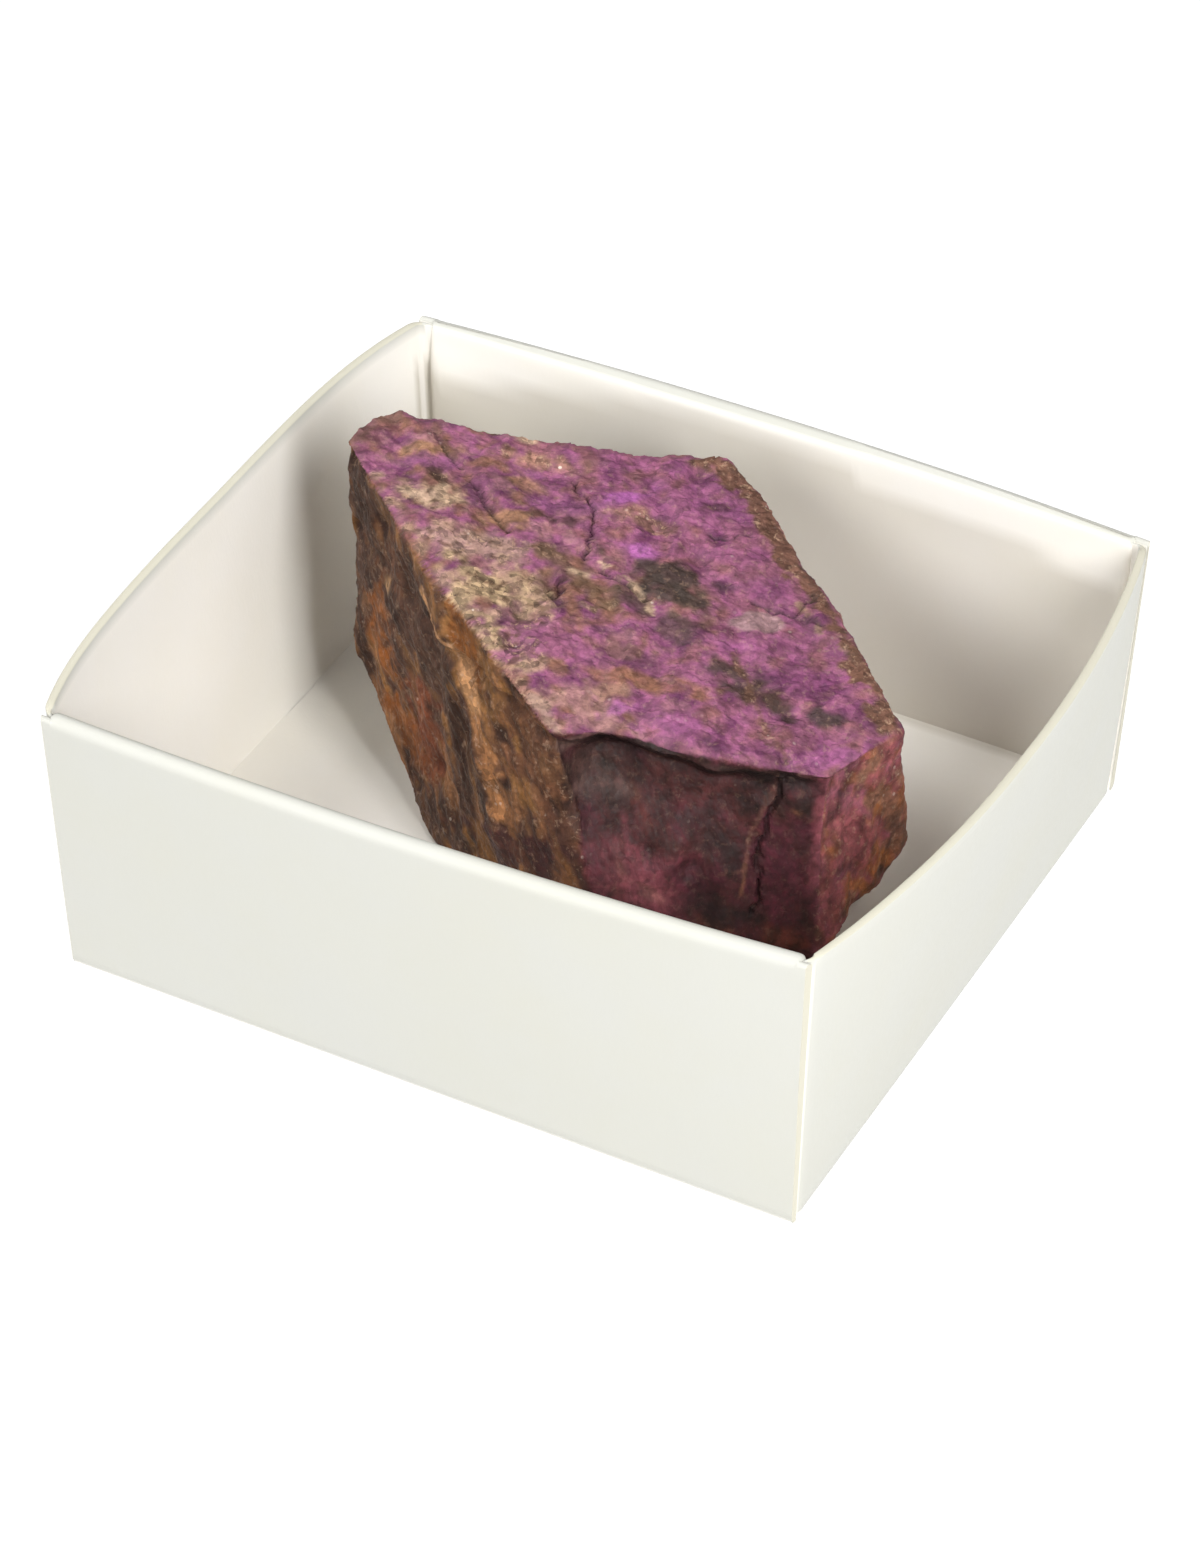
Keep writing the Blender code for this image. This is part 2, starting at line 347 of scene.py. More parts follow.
def leanPoints(points):
    # carry points of the straight tray to where the leaning, bowed tray has them
    shape = trayShape
    across, back, height = (points / (shape["width"], shape["depth"], shape["height"])).T
    moved = points.copy()
    moved[:, 0] += across * wallLean("right", back, height) - (1.0 - across) * wallLean("left", back, height)
    moved[:, 1] += back * wallLean("back", across, height) - (1.0 - back) * wallLean("front", across, height)
    waver = shape["waver"] * np.minimum(points[:, 2] / 4.0, 1.0)
    moved[:, 0] += waver * noiseAt(points * (0.3, 1.0, 1.0), 9.0)
    moved[:, 1] += waver * noiseAt(points * (1.0, 0.3, 1.0), 9.0, 31.7)
    return moved


def skinRings(work, rings, layers):
    # join equal rings of (point, cut edge share) into one closed tube with both ends shut
    count = len(rings[0][0])
    straight = np.concatenate([ring for ring, _ in rings])
    cut = np.concatenate([share for _, share in rings])
    fromSides = np.min(np.abs(np.concatenate(
        [straight[:, :2], straight[:, :2] - (trayShape["width"], trayShape["depth"])], axis=1)), axis=1)
    fromBack, middle = trayShape["depth"] - straight[:, 1], trayShape["width"] / 2.0
    # the inner face of the back liner, which is given painted shade under its roll
    lining = (fromBack > 0.3) & (fromBack < 1.8) & (np.abs(straight[:, 0] - middle) < middle - 0.55)
    verts = [work.verts.new(p) for p in leanPoints(straight)]
    for vert, share, far, lines, height in zip(verts, cut, fromSides, lining, straight[:, 2]):
        vert[layers["cutEdge"]] = share
        vert[layers["backLining"]] = float(lines)
        # the outer side and the rims, which the card material darkens with painted shade
        vert[layers["outside"]] = float(far < 0.1 or height > trayShape["height"] - 0.4)
    for start in range(0, len(verts) - count, count):
        for i in range(count):
            j = (i + 1) % count
            work.faces.new((verts[start + i], verts[start + j],
                            verts[start + count + j], verts[start + count + i]))
    work.faces.new(verts[:count])
    work.faces.new(verts[-count:][::-1])


def wallSection(top, thickness, crown, footRadius):
    # (inward depth, height, cut edge share) round one wall: up the outside, over, down the inside
    levels = np.linspace(1.0, top - 1.0, 17)
    section = [(footRadius, 0.0, 0.0), (0.289 * footRadius, 0.3 * footRadius, 0.0),
               (0.0, footRadius, 0.0)]
    section += [(0.0, z, 0.0) for z in levels]
    half = thickness / 2.0
    for step in range(9):
        angle = math.pi * (1.0 - step / 8.0)
        depth = half + half * math.cos(angle)
        height = top - crown + crown * math.sin(angle)
        section.append((depth, height, 1.0 if crown < half * 0.6 and 0 < step < 8 else 0.0))
    section += [(thickness, z, 0.0) for z in levels[::-1]] + [(thickness, 0.02, 0.0)]
    return np.array(section)


def foldedWall(work, layers, backWall):
    shape = trayShape
    start = shape["linerStarts"] if backWall else shape["frontLinerStarts"]
    ends = [0.0, 0.06, 0.12, start * 0.5, start - 0.02]
    inner = [start, start + 0.05, start + 0.14, start + 0.3, start + 0.55]
    middle = np.arange(start + 1.0, shape["width"] - start - 0.9, shape["station"])
    width = shape["width"]
    stations = ends + inner + list(middle) + [width - x for x in inner[::-1]] + [width - x for x in ends[::-1]]
    rings = []
    for x in stations:
        fromEnd = min(x, width - x)
        lined = float(np.clip((fromEnd - start + 0.02) / 0.4, 0.0, 1.0)) ** 0.35 if fromEnd >= start - 0.01 else 0.0
        thickness = shape["card"] + (shape["fold"] - shape["card"]) * lined
        top = shape["height"] - 0.14 * (1.0 - lined)
        section = wallSection(top, thickness, thickness / 2.0, shape["footRadius"])
        depth, height = section[:, 0].copy(), section[:, 1].copy()
        if backWall:
            roll = np.interp(x, *zip(*backRoll))
            inside = depth > thickness * 0.55
            depth -= inside * 0.34 * lined * smoothStep(roll - 0.3, 21.8, height) * (21.6 - roll) / 3.0
        y = shape["depth"] - depth if backWall else depth
        ring = np.stack([np.full(len(depth), x), y, height], axis=1)
        rings.append((ring, np.full(len(depth), 1.0 if fromEnd < 0.01 else 0.0)))
    skinRings(work, rings, layers)


def sideWall(work, layers, rightWall):
    # a strip of card: tab, corner fold, wall, corner fold, tab
    shape = trayShape
    radius, card = shape["foldRadius"], shape["card"]
    nearEnd, farEnd = card + 0.02, shape["depth"] - card - 0.02
    # the outer line, for one end: X, distance from the end, inward way, how far it is wall
    end = [(x, 0.0, (0.0, 1.0), 0.0) for x in np.linspace(shape["tabLength"], radius, 8)]
    for turn in np.radians(np.linspace(0.0, 90.0, 8)[1:-1]):
        way = (math.sin(turn), math.cos(turn))
        end.append((radius - radius * way[0], radius - radius * way[1], way, turn / math.radians(90.0)))
    path = [((x, nearEnd + far), way, share) for x, far, way, share in end]
    path += [((0.0, y), (1.0, 0.0), 1.0) for y in np.arange(nearEnd + radius, farEnd - radius, shape["station"])]
    path += [((x, farEnd - far), (way[0], -way[1]), share) for x, far, way, share in end[::-1]]
    rings = []
    for (x, y), (wayX, wayY), share in path:
        thickness = shape["tab"] + (card - shape["tab"]) * share
        top = shape["height"] - 0.1 - shape["tabDrop"] * (1.0 - share)
        section = wallSection(top, thickness, 0.1, 0.3)
        px = x + section[:, 0] * wayX
        if rightWall:
            px = shape["width"] - px
        ring = np.stack([px, y + section[:, 0] * wayY, section[:, 1]], axis=1)
        rings.append((ring, section[:, 2]))
    skinRings(work, rings, layers)


def trayFloor(work, layers):
    shape = trayShape
    inset, top = 0.25, shape["floorTop"]
    rings = []
    for x in np.linspace(inset, shape["width"] - inset, 90):
        ys = np.linspace(inset, shape["depth"] - inset, 70)
        upper = np.stack([np.full(len(ys), x), ys, np.full(len(ys), top)], axis=1)
        upper[:, 2] += 0.05 * noiseAt(upper, 14.0) - 0.03
        lower = np.stack([np.full(2, x), ys[[-1, 0]], np.full(2, 0.02)], axis=1)
        ring = np.concatenate([upper, lower])
        rings.append((ring, np.zeros(len(ring))))
    skinRings(work, rings, layers)


cardLook = {
    "face": (0.86, 0.835, 0.785),
    "warm": (0.86, 0.83, 0.755),
    "outside": (0.68, 0.70, 0.69),     # painted shade: how much of that tone the outer side and the rims keep
    "cutEdge": (0.90, 0.84, 0.70),
    # the brownish tone of a darker spot on the left inner wall
    "spotTone": (0.55, 0.50, 0.42),
    "linerShade": (0.72, 0.70, 0.66),  # painted shade: the back liner under its roll keeps this much
    # where that darker spot lies on the left inner wall, beside the stone's left end
    "wallSpot": {"centre": (-2.6, 36.9, 15.3), "halfSize": (1.5, 1.1, 0.5), "strength": 0.6},
    "roughness": (0.5, 0.66), "specular": 0.35,
    "fibreHeight": 0.02, "waveHeight": 0.05,
}


def makeCardMaterial():
    material, tree, shader = startMaterial("whiteCard")
    place = stretchedPlace(tree, (1.0, 1.0, 1.0))
    warmth = rampOf(tree, noiseOf(tree, place, 0.09, 4.0), 0.35, 0.7)
    colour = blended(tree, warmth, cardLook["face"], cardLook["warm"])
    flecks = rampOf(tree, noiseOf(tree, place, 1.6, 5.0, 0.7), 0.62, 0.8, 0.0, 0.35)
    colour = blended(tree, flecks, colour, cardLook["warm"])
    colour = blended(tree, attributeOf(tree, "cutEdge"), colour, cardLook["cutEdge"])
    # a darker brownish spot on the left inner wall
    spotNoise = rampOf(tree, noiseOf(tree, place, 0.8), 0.3, 0.7)
    wallSpot = mathOf(tree, "MULTIPLY", attributeOf(tree, "wallSpot"), spotNoise)
    colour = blended(tree, wallSpot, colour, cardLook["spotTone"])
    # painted shade: the back liner under its roll, and the outer side with the rims, keep only part of their tone
    for attribute, tone in (("shade", cardLook["linerShade"]), ("outside", cardLook["outside"])):
        share = blended(tree, attributeOf(tree, attribute), (1.0, 1.0, 1.0), tone)
        colour = blended(tree, 1.0, colour, share, "MULTIPLY")
    feed(tree, shader.inputs["Base Color"], colour)
    fibres = noiseOf(tree, stretchedPlace(tree, (1.0, 1.0, 0.35)), 4.5, 4.0, 0.65)
    feed(tree, shader.inputs["Roughness"], rampOf(tree, fibres, 0.3, 0.7, *cardLook["roughness"]))
    waves = bumpOf(tree, noiseOf(tree, place, 0.5, 2.0), cardLook["waveHeight"], 0.5)
    feed(tree, shader.inputs["Normal"], bumpOf(tree, fibres, cardLook["fibreHeight"], 0.6, waves))
    shader.inputs["Specular IOR Level"].default_value = cardLook["specular"]
    return material


def makeTray():
    work = bmesh.new()
    layers = {name: work.verts.layers.float.new(name) for name in ("cutEdge", "outside", "backLining")}
    foldedWall(work, layers, False)
    foldedWall(work, layers, True)
    sideWall(work, layers, False)
    sideWall(work, layers, True)
    trayFloor(work, layers)
    bmesh.ops.recalc_face_normals(work, faces=work.faces)
    mesh = meshOf(work, "cardTray")
    points = readPoints(mesh)
    x, y, z = points.T
    # painted shade on the back liner under its roll, deepest towards the left end
    roll = np.interp(x, *zip(*backRoll))
    softness = np.interp(x, (0.0, 20.0, 34.0, 54.0), (1.6, 1.0, 0.5, 0.6))
    below = 1.0 - smoothStep(roll - softness, roll + 0.25 * softness, z)
    deepest = np.interp(x, (0.0, 7.0, 25.0, 54.0), (1.0, 0.85, 0.7, 0.6))
    addValues(mesh, "shade", readValues(mesh, "backLining") * below * deepest)
    # the darker spot on the left inner wall, kept off the outer side
    wallSpot = cardLook["wallSpot"]
    spot = np.linalg.norm((points - wallSpot["centre"]) / wallSpot["halfSize"], axis=1)
    addValues(mesh, "wallSpot", wallSpot["strength"] * (1.0 - readValues(mesh, "outside")) * np.exp(-spot ** 2))
    mesh.vertices.foreach_set("co", keepInside(toWorld(points), "card_tray").ravel())
    mesh.shade_smooth()
    mesh.set_sharp_from_angle(angle=math.radians(40.0))
    mesh.materials.append(makeCardMaterial())
    tray = newObject("cardTray", mesh)
    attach(tray, "root")
    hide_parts("card_tray")
    print("card tray made,", len(mesh.vertices), "points")


# The stone

stoneShape = {
    "corners": [
        (4.7, 29.6, 26.1), (4.6, 31.6, 26.2), (5.0, 33.2, 26.1), (6.4, 34.6, 25.8), (15.7, 21.8, 24.0),
        (28.4, 14.8, 20.3), (44.8, 23.4, 16.5), (46.5, 30.0, 16.6), (38.5, 36.5, 18.8), (26.2, 44.1, 22.5),
        (29.0, 43.2, 21.7), (6.1, 28.1, 10.0), (8.4, 34.5, 12.0), (15.4, 21.9, 0.6), (25.9, 15.3, 4.9),
        (32.2, 13.7, 9.5), (27.0, 14.2, 0.6), (33.2, 13.4, 0.6), (44.9, 20.9, 0.6), (46.9, 31.0, 6.3),
        (45.4, 27.6, 4.9), (43.8, 30.0, 0.6), (28.5, 43.6, 11.0), (32.0, 38.5, 0.6), (17.0, 33.5, 0.6)],
    # hollows broken out: centre, half sizes, turn about Z
    "hollows": [
        ((48.3, 26.4, 1.4), (4.9, 5.4, 3.6), 14.0),
        ((38.5, 13.2, 3.0), (4.5, 3.0, 4.0), 35.0),
        ((41.5, 43.5, 10.0), (10.0, 5.0, 8.0), -38.0),
        ((9.0, 41.5, 18.0), (9.0, 5.5, 7.0), 25.0)],
    "grain": 0.215, "rounding": 8,
    "foot": 1.5,
    "ribTop": (15.7, 21.8, 24.0), "ribFoot": (25.9, 15.3, 4.9),
    # the front ridge, and the arch that hangs out under it: its depth, and how far down it reaches
    "ridgeLeft": (28.4, 14.8, 20.3), "ridgeRight": (44.8, 23.4, 16.5),
    "archDepth": 1.9, "archReach": 9.5, "lipDepth": 0.55,
    # where an edge is bitten back: its ends, the share of it where the bite sets in and where it
    # gives out, depth, and how far the bite reaches in over the top and down the side
    "bites": [
        ((28.4, 14.8, 20.3), (44.8, 23.4, 16.5), (0.03, 0.2), (0.26, 0.52), 0.9, 3.6, 8.0),
        ((26.2, 44.1, 22.5), (6.4, 34.6, 25.8), (0.05, 0.4), (0.7, 0.98), 1.0, 4.0, 9.0)],
    "goldLine": ((10.0, 27.0, 25.0), (24.0, 19.0, 21.0)),
    "topStreaks": (0.9, 0.42, -0.17),
    "sideFibres": (0.548, -0.378, -0.746),
}
# cracks of each face: corners of the run, half width, depth
stoneCracks = {
    "top": [
        ([(13.4, 31.5, 24.3), (15.5, 30.1, 23.6), (17.6, 28.6, 23.1)], 0.15, 0.35),
        ([(18.9, 35.5, 23.3), (21.4, 33.9, 22.6), (23.1, 29.8, 21.9)], 0.14, 0.35),
        ([(22.1, 26.0, 21.8), (23.4, 24.8, 21.4), (22.7, 27.2, 21.8)], 0.2, 0.4),
        ([(24.3, 29.3, 21.6), (26.4, 29.3, 21.1), (28.1, 29.0, 20.7)], 0.16, 0.4),
        ([(33.7, 33.6, 19.8), (36.4, 34.3, 19.3), (36.9, 36.8, 19.4)], 0.15, 0.25),
        ([(36.4, 34.3, 19.3), (38.2, 34.5, 18.9)], 0.14, 0.25),
        ([(28.6, 36.9, 21.2), (29.9, 37.5, 21.0), (30.9, 38.6, 20.9)], 0.1, 0.15),
        ([(9.0, 33.9, 25.4), (11.0, 32.8, 24.9), (12.4, 32.2, 24.5)], 0.16, 0.25),
    ],
    "front": [
        ([(42.1, 21.6, 16.0), (41.7, 21.2, 14.0), (41.2, 20.6, 11.4), (41.0, 20.2, 6.4)], 0.16, 0.3),
    ],
}
# thin seams of another mineral in each face: colour, corners of the run, half width, strength
stoneSeams = {
    "top": [
        ("umberLight", [(25.6, 43.3, 22.6), (28.6, 42.4, 21.8), (38.1, 35.8, 18.9), (45.9, 29.8, 16.8)], 0.9, 0.95),
        ("oliveCream", [(36.4, 35.4, 19.2), (38.8, 33.6, 18.6)], 0.35, 0.55),
        ("umberLight", [(34.8, 28.6, 19.2), (36.4, 27.2, 18.7), (38.0, 25.6, 18.2), (39.9, 24.0, 17.7),
                        (41.6, 22.8, 17.3)], 0.3, 0.6),
        ("cream", [(24.0, 30.1, 21.6), (26.4, 29.8, 21.1), (28.3, 29.0, 20.6), (29.0, 28.0, 20.4)], 0.2, 0.75),
    ],
    "front": [
        ("greyBrown", [(41.8, 21.6, 16.4), (41.6, 21.2, 14.7), (40.6, 20.2, 11.9), (40.4, 19.8, 9.6),
                       (40.2, 19.4, 7.6)], 0.16, 0.75),
        ("tanBrown", [(40.4, 19.8, 9.8), (40.3, 19.5, 7.8)], 0.22, 0.6),
        ("greyBrown", [(39.0, 19.0, 9.5), (40.5, 19.8, 9.6)], 0.12, 0.6),
    ],
    "left": [
        ("goldTan", [(15.6, 22.4, 22.3), (17.2, 21.3, 20.7), (19.3, 20.0, 19.7)], 0.45, 0.9),
        ("goldTan", [(19.3, 20.0, 19.7), (20.5, 19.1, 17.7), (21.4, 18.5, 15.9)], 0.6, 0.9),
        ("ochre", [(21.4, 18.5, 15.9), (22.3, 17.8, 14.2), (23.2, 17.2, 12.0), (23.9, 16.8, 10.4)], 0.75, 0.9),
        ("orangeBrown", [(19.0, 20.2, 21.1), (20.2, 19.4, 19.6), (21.3, 18.6, 18.4)], 0.35, 0.6),
    ],
}


def listed(byFace):
    # the rows of every face in turn, each with its face's name in front
    return [(face, *row) for face, rows in byFace.items() for row in rows]


def stoneBlank():
    # the flat-sided lump spanned by its corners, less its hollows, cut up into fine even facets
    work = bmesh.new()
    for corner in stoneShape["corners"]:
        work.verts.new(corner)
    bmesh.ops.convex_hull(work, input=work.verts)
    loose = [v for v in work.verts if not v.link_faces]
    bmesh.ops.delete(work, geom=loose, context="VERTS")
    bmesh.ops.recalc_face_normals(work, faces=work.faces)
    stone = newObject("purpuriteStone", meshOf(work, "purpuriteStone"))
    cutters = []
    for centre, half, turn in stoneShape["hollows"]:
        matrix = Matrix.Translation(centre) @ Matrix.Rotation(math.radians(turn), 4, "Z")
        work = bmesh.new()
        bmesh.ops.create_icosphere(work, subdivisions=3, radius=1.0, matrix=matrix @ Matrix.Diagonal((*half, 1.0)))
        cutters.append(newObject("hollow", meshOf(work, "hollow")))
        cut = stone.modifiers.new("hollow", "BOOLEAN")
        cut.operation, cut.solver, cut.object = "DIFFERENCE", "EXACT", cutters[-1]
    grain = stone.modifiers.new("grain", "REMESH")
    grain.mode, grain.voxel_size = "VOXEL", stoneShape["grain"] * 1.0
    worn = stone.modifiers.new("worn", "SMOOTH")
    worn.factor, worn.iterations = 0.5, stoneShape["rounding"]
    graph = bpy.context.evaluated_depsgraph_get()
    mesh = bpy.data.meshes.new_from_object(stone.evaluated_get(graph))
    stone.modifiers.clear()
    stone.data = mesh
    for cutter in cutters:
        bpy.data.objects.remove(cutter, do_unlink=True)
    return stone


# The broken surface: each form's size across and how much it rises or sinks
stoneRough = {
    "swell": (9.0, 0.45), "lumps": (3.4, 0.22), "streaks": ((2.2, 2.2, 11.0), 0.38),
    "ledges": (5.2, 0.4), "ledgeWaver": (6.0, 3.4), "ledgeWay": (0.84, 0.53, 0.1),
    "pits": (4.6, 0.5), "rib": (1.3, 0.45),
    # from here on finer than the CAD solid has it
    "blades": (1.5, 0.17), "smallBlades": (0.7, 0.14), "bladeStretch": 1.4,
    "fibres": (0.75, 0.11), "fineFibres": (0.36, 0.08), "fibreStretch": 3.6,
    "grains": (1.7, 0.12), "grit": (0.8, 0.08), "fineGrit": (0.42, 0.06),
    "glassyFront": 0.45,                # how much calmer the front is
}


def crystalTilt(points, size, shift):
    # height of a surface broken into small tilted planes, one to each grain
    heights = []
    for p in points / size + shift:
        centre = noise.voronoi(Vector(p))[1][0]
        way = noise.noise_vector(centre * 3.7)
        heights.append((Vector(p) - centre).dot(way))
    return np.array(heights)


def underRidge(points, normals):
    # how far the front face falls back under the ridge; second, the lip right under the ridge, which the colours
    # paint dark, partly its own colour and partly painted shade
    shape = stoneShape
    start, end = np.array(shape["ridgeLeft"]), np.array(shape["ridgeRight"])
    run = (end - start)[:2]
    along = np.clip((points - start)[:, :2] @ run / np.sum(run ** 2), -0.1, 1.1)
    down = start[2] + along * (end[2] - start[2]) - points[:, 2] + 0.5 * noiseAt(points, 2.6, 71.0)
    facing = smoothStep(0.1, 0.6, normals @ (0.48, -0.866, 0.0))
    arch = smoothStep(0.4, 2.0, down) * (1.0 - smoothStep(2.2, shape["archReach"], down))
    arch *= smoothStep(-0.02, 0.16, along) * (1.0 - smoothStep(0.55, 1.0, along))
    lip = smoothStep(0.35, 0.9, down) * (1.0 - smoothStep(0.9, 2.4, down)) * (1.0 - smoothStep(0.9, 1.0, along))
    hollow = facing * (shape["archDepth"] * arch + shape["lipDepth"] * lip)
    return hollow, facing * lip * smoothStep(0.05, 0.2, along)


def edgeBites(points):
    # how far each point is carried inwards where an edge is bitten back
    moved = np.zeros_like(points)
    for start, end, setIn, giveOut, depth, overTop, downSide in stoneShape["bites"]:
        start, end = np.array(start), np.array(end)
        run = (end - start)[:2]
        along = (points - start)[:, :2] @ run / (run @ run)
        inward = np.array((-run[1], run[0], 0.0)) / np.linalg.norm(run)
        behind = (points - start) @ inward
        down = start[2] + along * (end[2] - start[2]) - points[:, 2]
        bite = smoothStep(*setIn, along) * (1.0 - smoothStep(*giveOut, along))
        bite *= (1.0 - smoothStep(0.5, overTop, behind)) * (1.0 - smoothStep(2.5, downSide, down))
        moved += depth * bite[:, None] * inward
    return moved


def stoneRelief(points, normals):
    # height of the broken surface over the blank, and the parts of it that the colours follow
    shape, rough = stoneShape, stoneRough
    faceShare = faceShares(normals)
    top = smoothStep(0.45, 0.85, normals @ (0.22, -0.08, 0.97))
    side = 1.0 - smoothStep(0.2, 0.6, np.abs(normals[:, 2]))
    front = smoothStep(0.55, 0.9, normals @ stoneFaces["front"]["way"])

    def rise(name, shift=0.0, places=points):
        return rough[name][1] * noiseAt(places, rough[name][0], shift)

    height = rise("swell") + rise("lumps", np.array((7.3, 1.9, 4.1))) + side * rise("streaks")
    length, drop = rough["ledges"]
    step = (points @ rough["ledgeWay"] + rise("ledgeWaver")) / length % 1.0
    height += top * drop * (smoothStep(0.0, 0.35, step) - step)
    spacing, depth = rough["pits"]
    nearest = np.array([noise.voronoi(Vector(p))[0][0] for p in points / spacing])
    pits = 1.0 - smoothStep(0.0, 0.3, nearest)
    height -= depth * pits
    width, swell = rough["rib"]
    height += side * swell * np.exp(-(nearLine(points, shape["ribTop"], shape["ribFoot"]) / width) ** 2)

    bladed = stretched(points, shape["topStreaks"], rough["bladeStretch"])
    fibrous = stretched(points, shape["sideFibres"], rough["fibreStretch"])
    blades = crystalTilt(bladed, rough["blades"][0], 5.0)
    smallBlades = crystalTilt(bladed, rough["smallBlades"][0], 11.0)
    fibres, grit = rise("fibres", 3.0, fibrous), rise("grit", 21.0)
    fine = (0.4 + 0.6 * top) * (rough["blades"][1] * blades + rough["smallBlades"][1] * smallBlades)
    fine += side * (fibres + rise("fineFibres", 9.0, fibrous))
    fine += rise("grains", 13.0) + grit + rise("fineGrit", 17.0)
    height += fine * (1.0 - rough["glassyFront"] * front)
    arch, lip = underRidge(points, normals)
    height -= arch
    # cracks that waver with the grain
    grain = np.stack([0.5 * grit / rough["grit"][1], 0.4 * fibres / rough["fibres"][1], 0.4 * blades], axis=1)
    cracks = np.zeros(len(points))
    for face, corners, halfWidth, depth in listed(stoneCracks):
        far = nearPath(points + grain, corners, stoneFaces[face]["way"])
        near = 1.0 - smoothStep(halfWidth * 0.3, halfWidth * 1.7, far)
        near *= smoothStep(0.3, 0.6, faceShare[face])
        cracks = np.maximum(cracks, near)
        height -= depth * near
    return height, {"pits": pits, "cracks": cracks, "lip": lip}


# Colours by name, as they look in even white light
stoneColours = {
    "magenta": (168, 98, 136), "brightMagenta": (172, 98, 146), "violet": (158, 94, 136),
    "deepViolet": (116, 68, 98), "brightViolet": (188, 106, 174), "deepMagenta": (118, 60, 98),
    "duskyRose": (150, 94, 106), "roseBrown": (146, 102, 80), "mauve": (125, 73, 86),
    "pinkTan": (178, 132, 126), "greyPink": (172, 134, 138), "cream": (212, 180, 150),
    "goldCream": (196, 166, 130), "greyCream": (186, 154, 132), "greyTan": (176, 144, 128),
    "tan": (174, 130, 108),
    "goldTan": (200, 160, 124), "ochre": (172, 128, 92), "tanBrown": (146, 108, 80),
    "orangeTan": (166, 114, 88), "orangeBrown": (132, 78, 32), "rust": (138, 86, 42),
    "redRust": (124, 72, 52), "goldBrown": (142, 106, 68), "oliveCream": (166, 142, 104),
    "oliveBrown": (118, 90, 68), "umberLight": (122, 86, 68), "umber": (80, 56, 48),
    "deepUmber": (57, 37, 30), "greyBrown": (130, 94, 84),
    "greenBlack": (72, 60, 54), "purpleBrown": (86, 64, 58), "redBrown": (130, 72, 74),
    "maroon": (84, 44, 50), "purple": (96, 46, 62), "rosePlum": (164, 98, 112), "plumBrown": (80, 43, 42),
    "darkPlum": (70, 42, 50), "blackPlum": (48, 32, 34), "smoke": (84, 68, 62),
    "paleSmoke": (124, 106, 100), "black": (34, 26, 26), "sparkle": (246, 226, 212),
}
# Each broken face: the way it looks out, its ground colour, the two colours mottled into it, its crust colour and
# how bare of crust it is, and its lift: a scale on the face's colours, which also paints light and shade, lighter
# or darker as the lamps light that face
stoneFaces = {
    "top": {"way": (0.2198, -0.0784, 0.9724), "ground": "magenta", "pale": "duskyRose", "deep": "deepMagenta",
            "crust": "tan", "bare": 0.14, "lift": (0.65, 0.665, 0.665)},
    "left": {"way": (-0.535, -0.844, 0.035), "ground": "purpleBrown", "pale": "goldBrown", "deep": "deepUmber",
             "crust": "tanBrown", "bare": 0.12, "lift": (0.78, 0.67, 0.53)},
    "front": {"way": (0.48, -0.866, 0.139), "ground": "maroon", "pale": "purple", "deep": "blackPlum",
              "crust": "redRust", "bare": 0.3, "lift": (0.41, 0.30, 0.295)},
    "right": {"way": (0.968, -0.249, -0.028), "ground": "redBrown", "pale": "mauve", "deep": "umberLight",
              "crust": "rust", "bare": 0.1, "lift": (0.97, 0.92, 0.95)},
    "backRight": {"way": (0.66, 0.75, 0.0), "ground": "deepMagenta", "pale": "rust", "deep": "maroon",
                  "crust": "tan", "bare": 0.1, "lift": (0.8, 0.8, 0.8)},
    "backLeft": {"way": (-0.6, 0.8, 0.0), "ground": "purpleBrown", "pale": "goldBrown", "deep": "umber",
                 "crust": "rust", "bare": 0.1, "lift": (0.8, 0.8, 0.8)},
    "under": {"way": (0.0, 0.0, -1.0), "ground": "umber", "pale": "rust", "deep": "darkPlum",
              "crust": "goldBrown", "bare": 0.1, "lift": (0.8, 0.8, 0.8)},
}
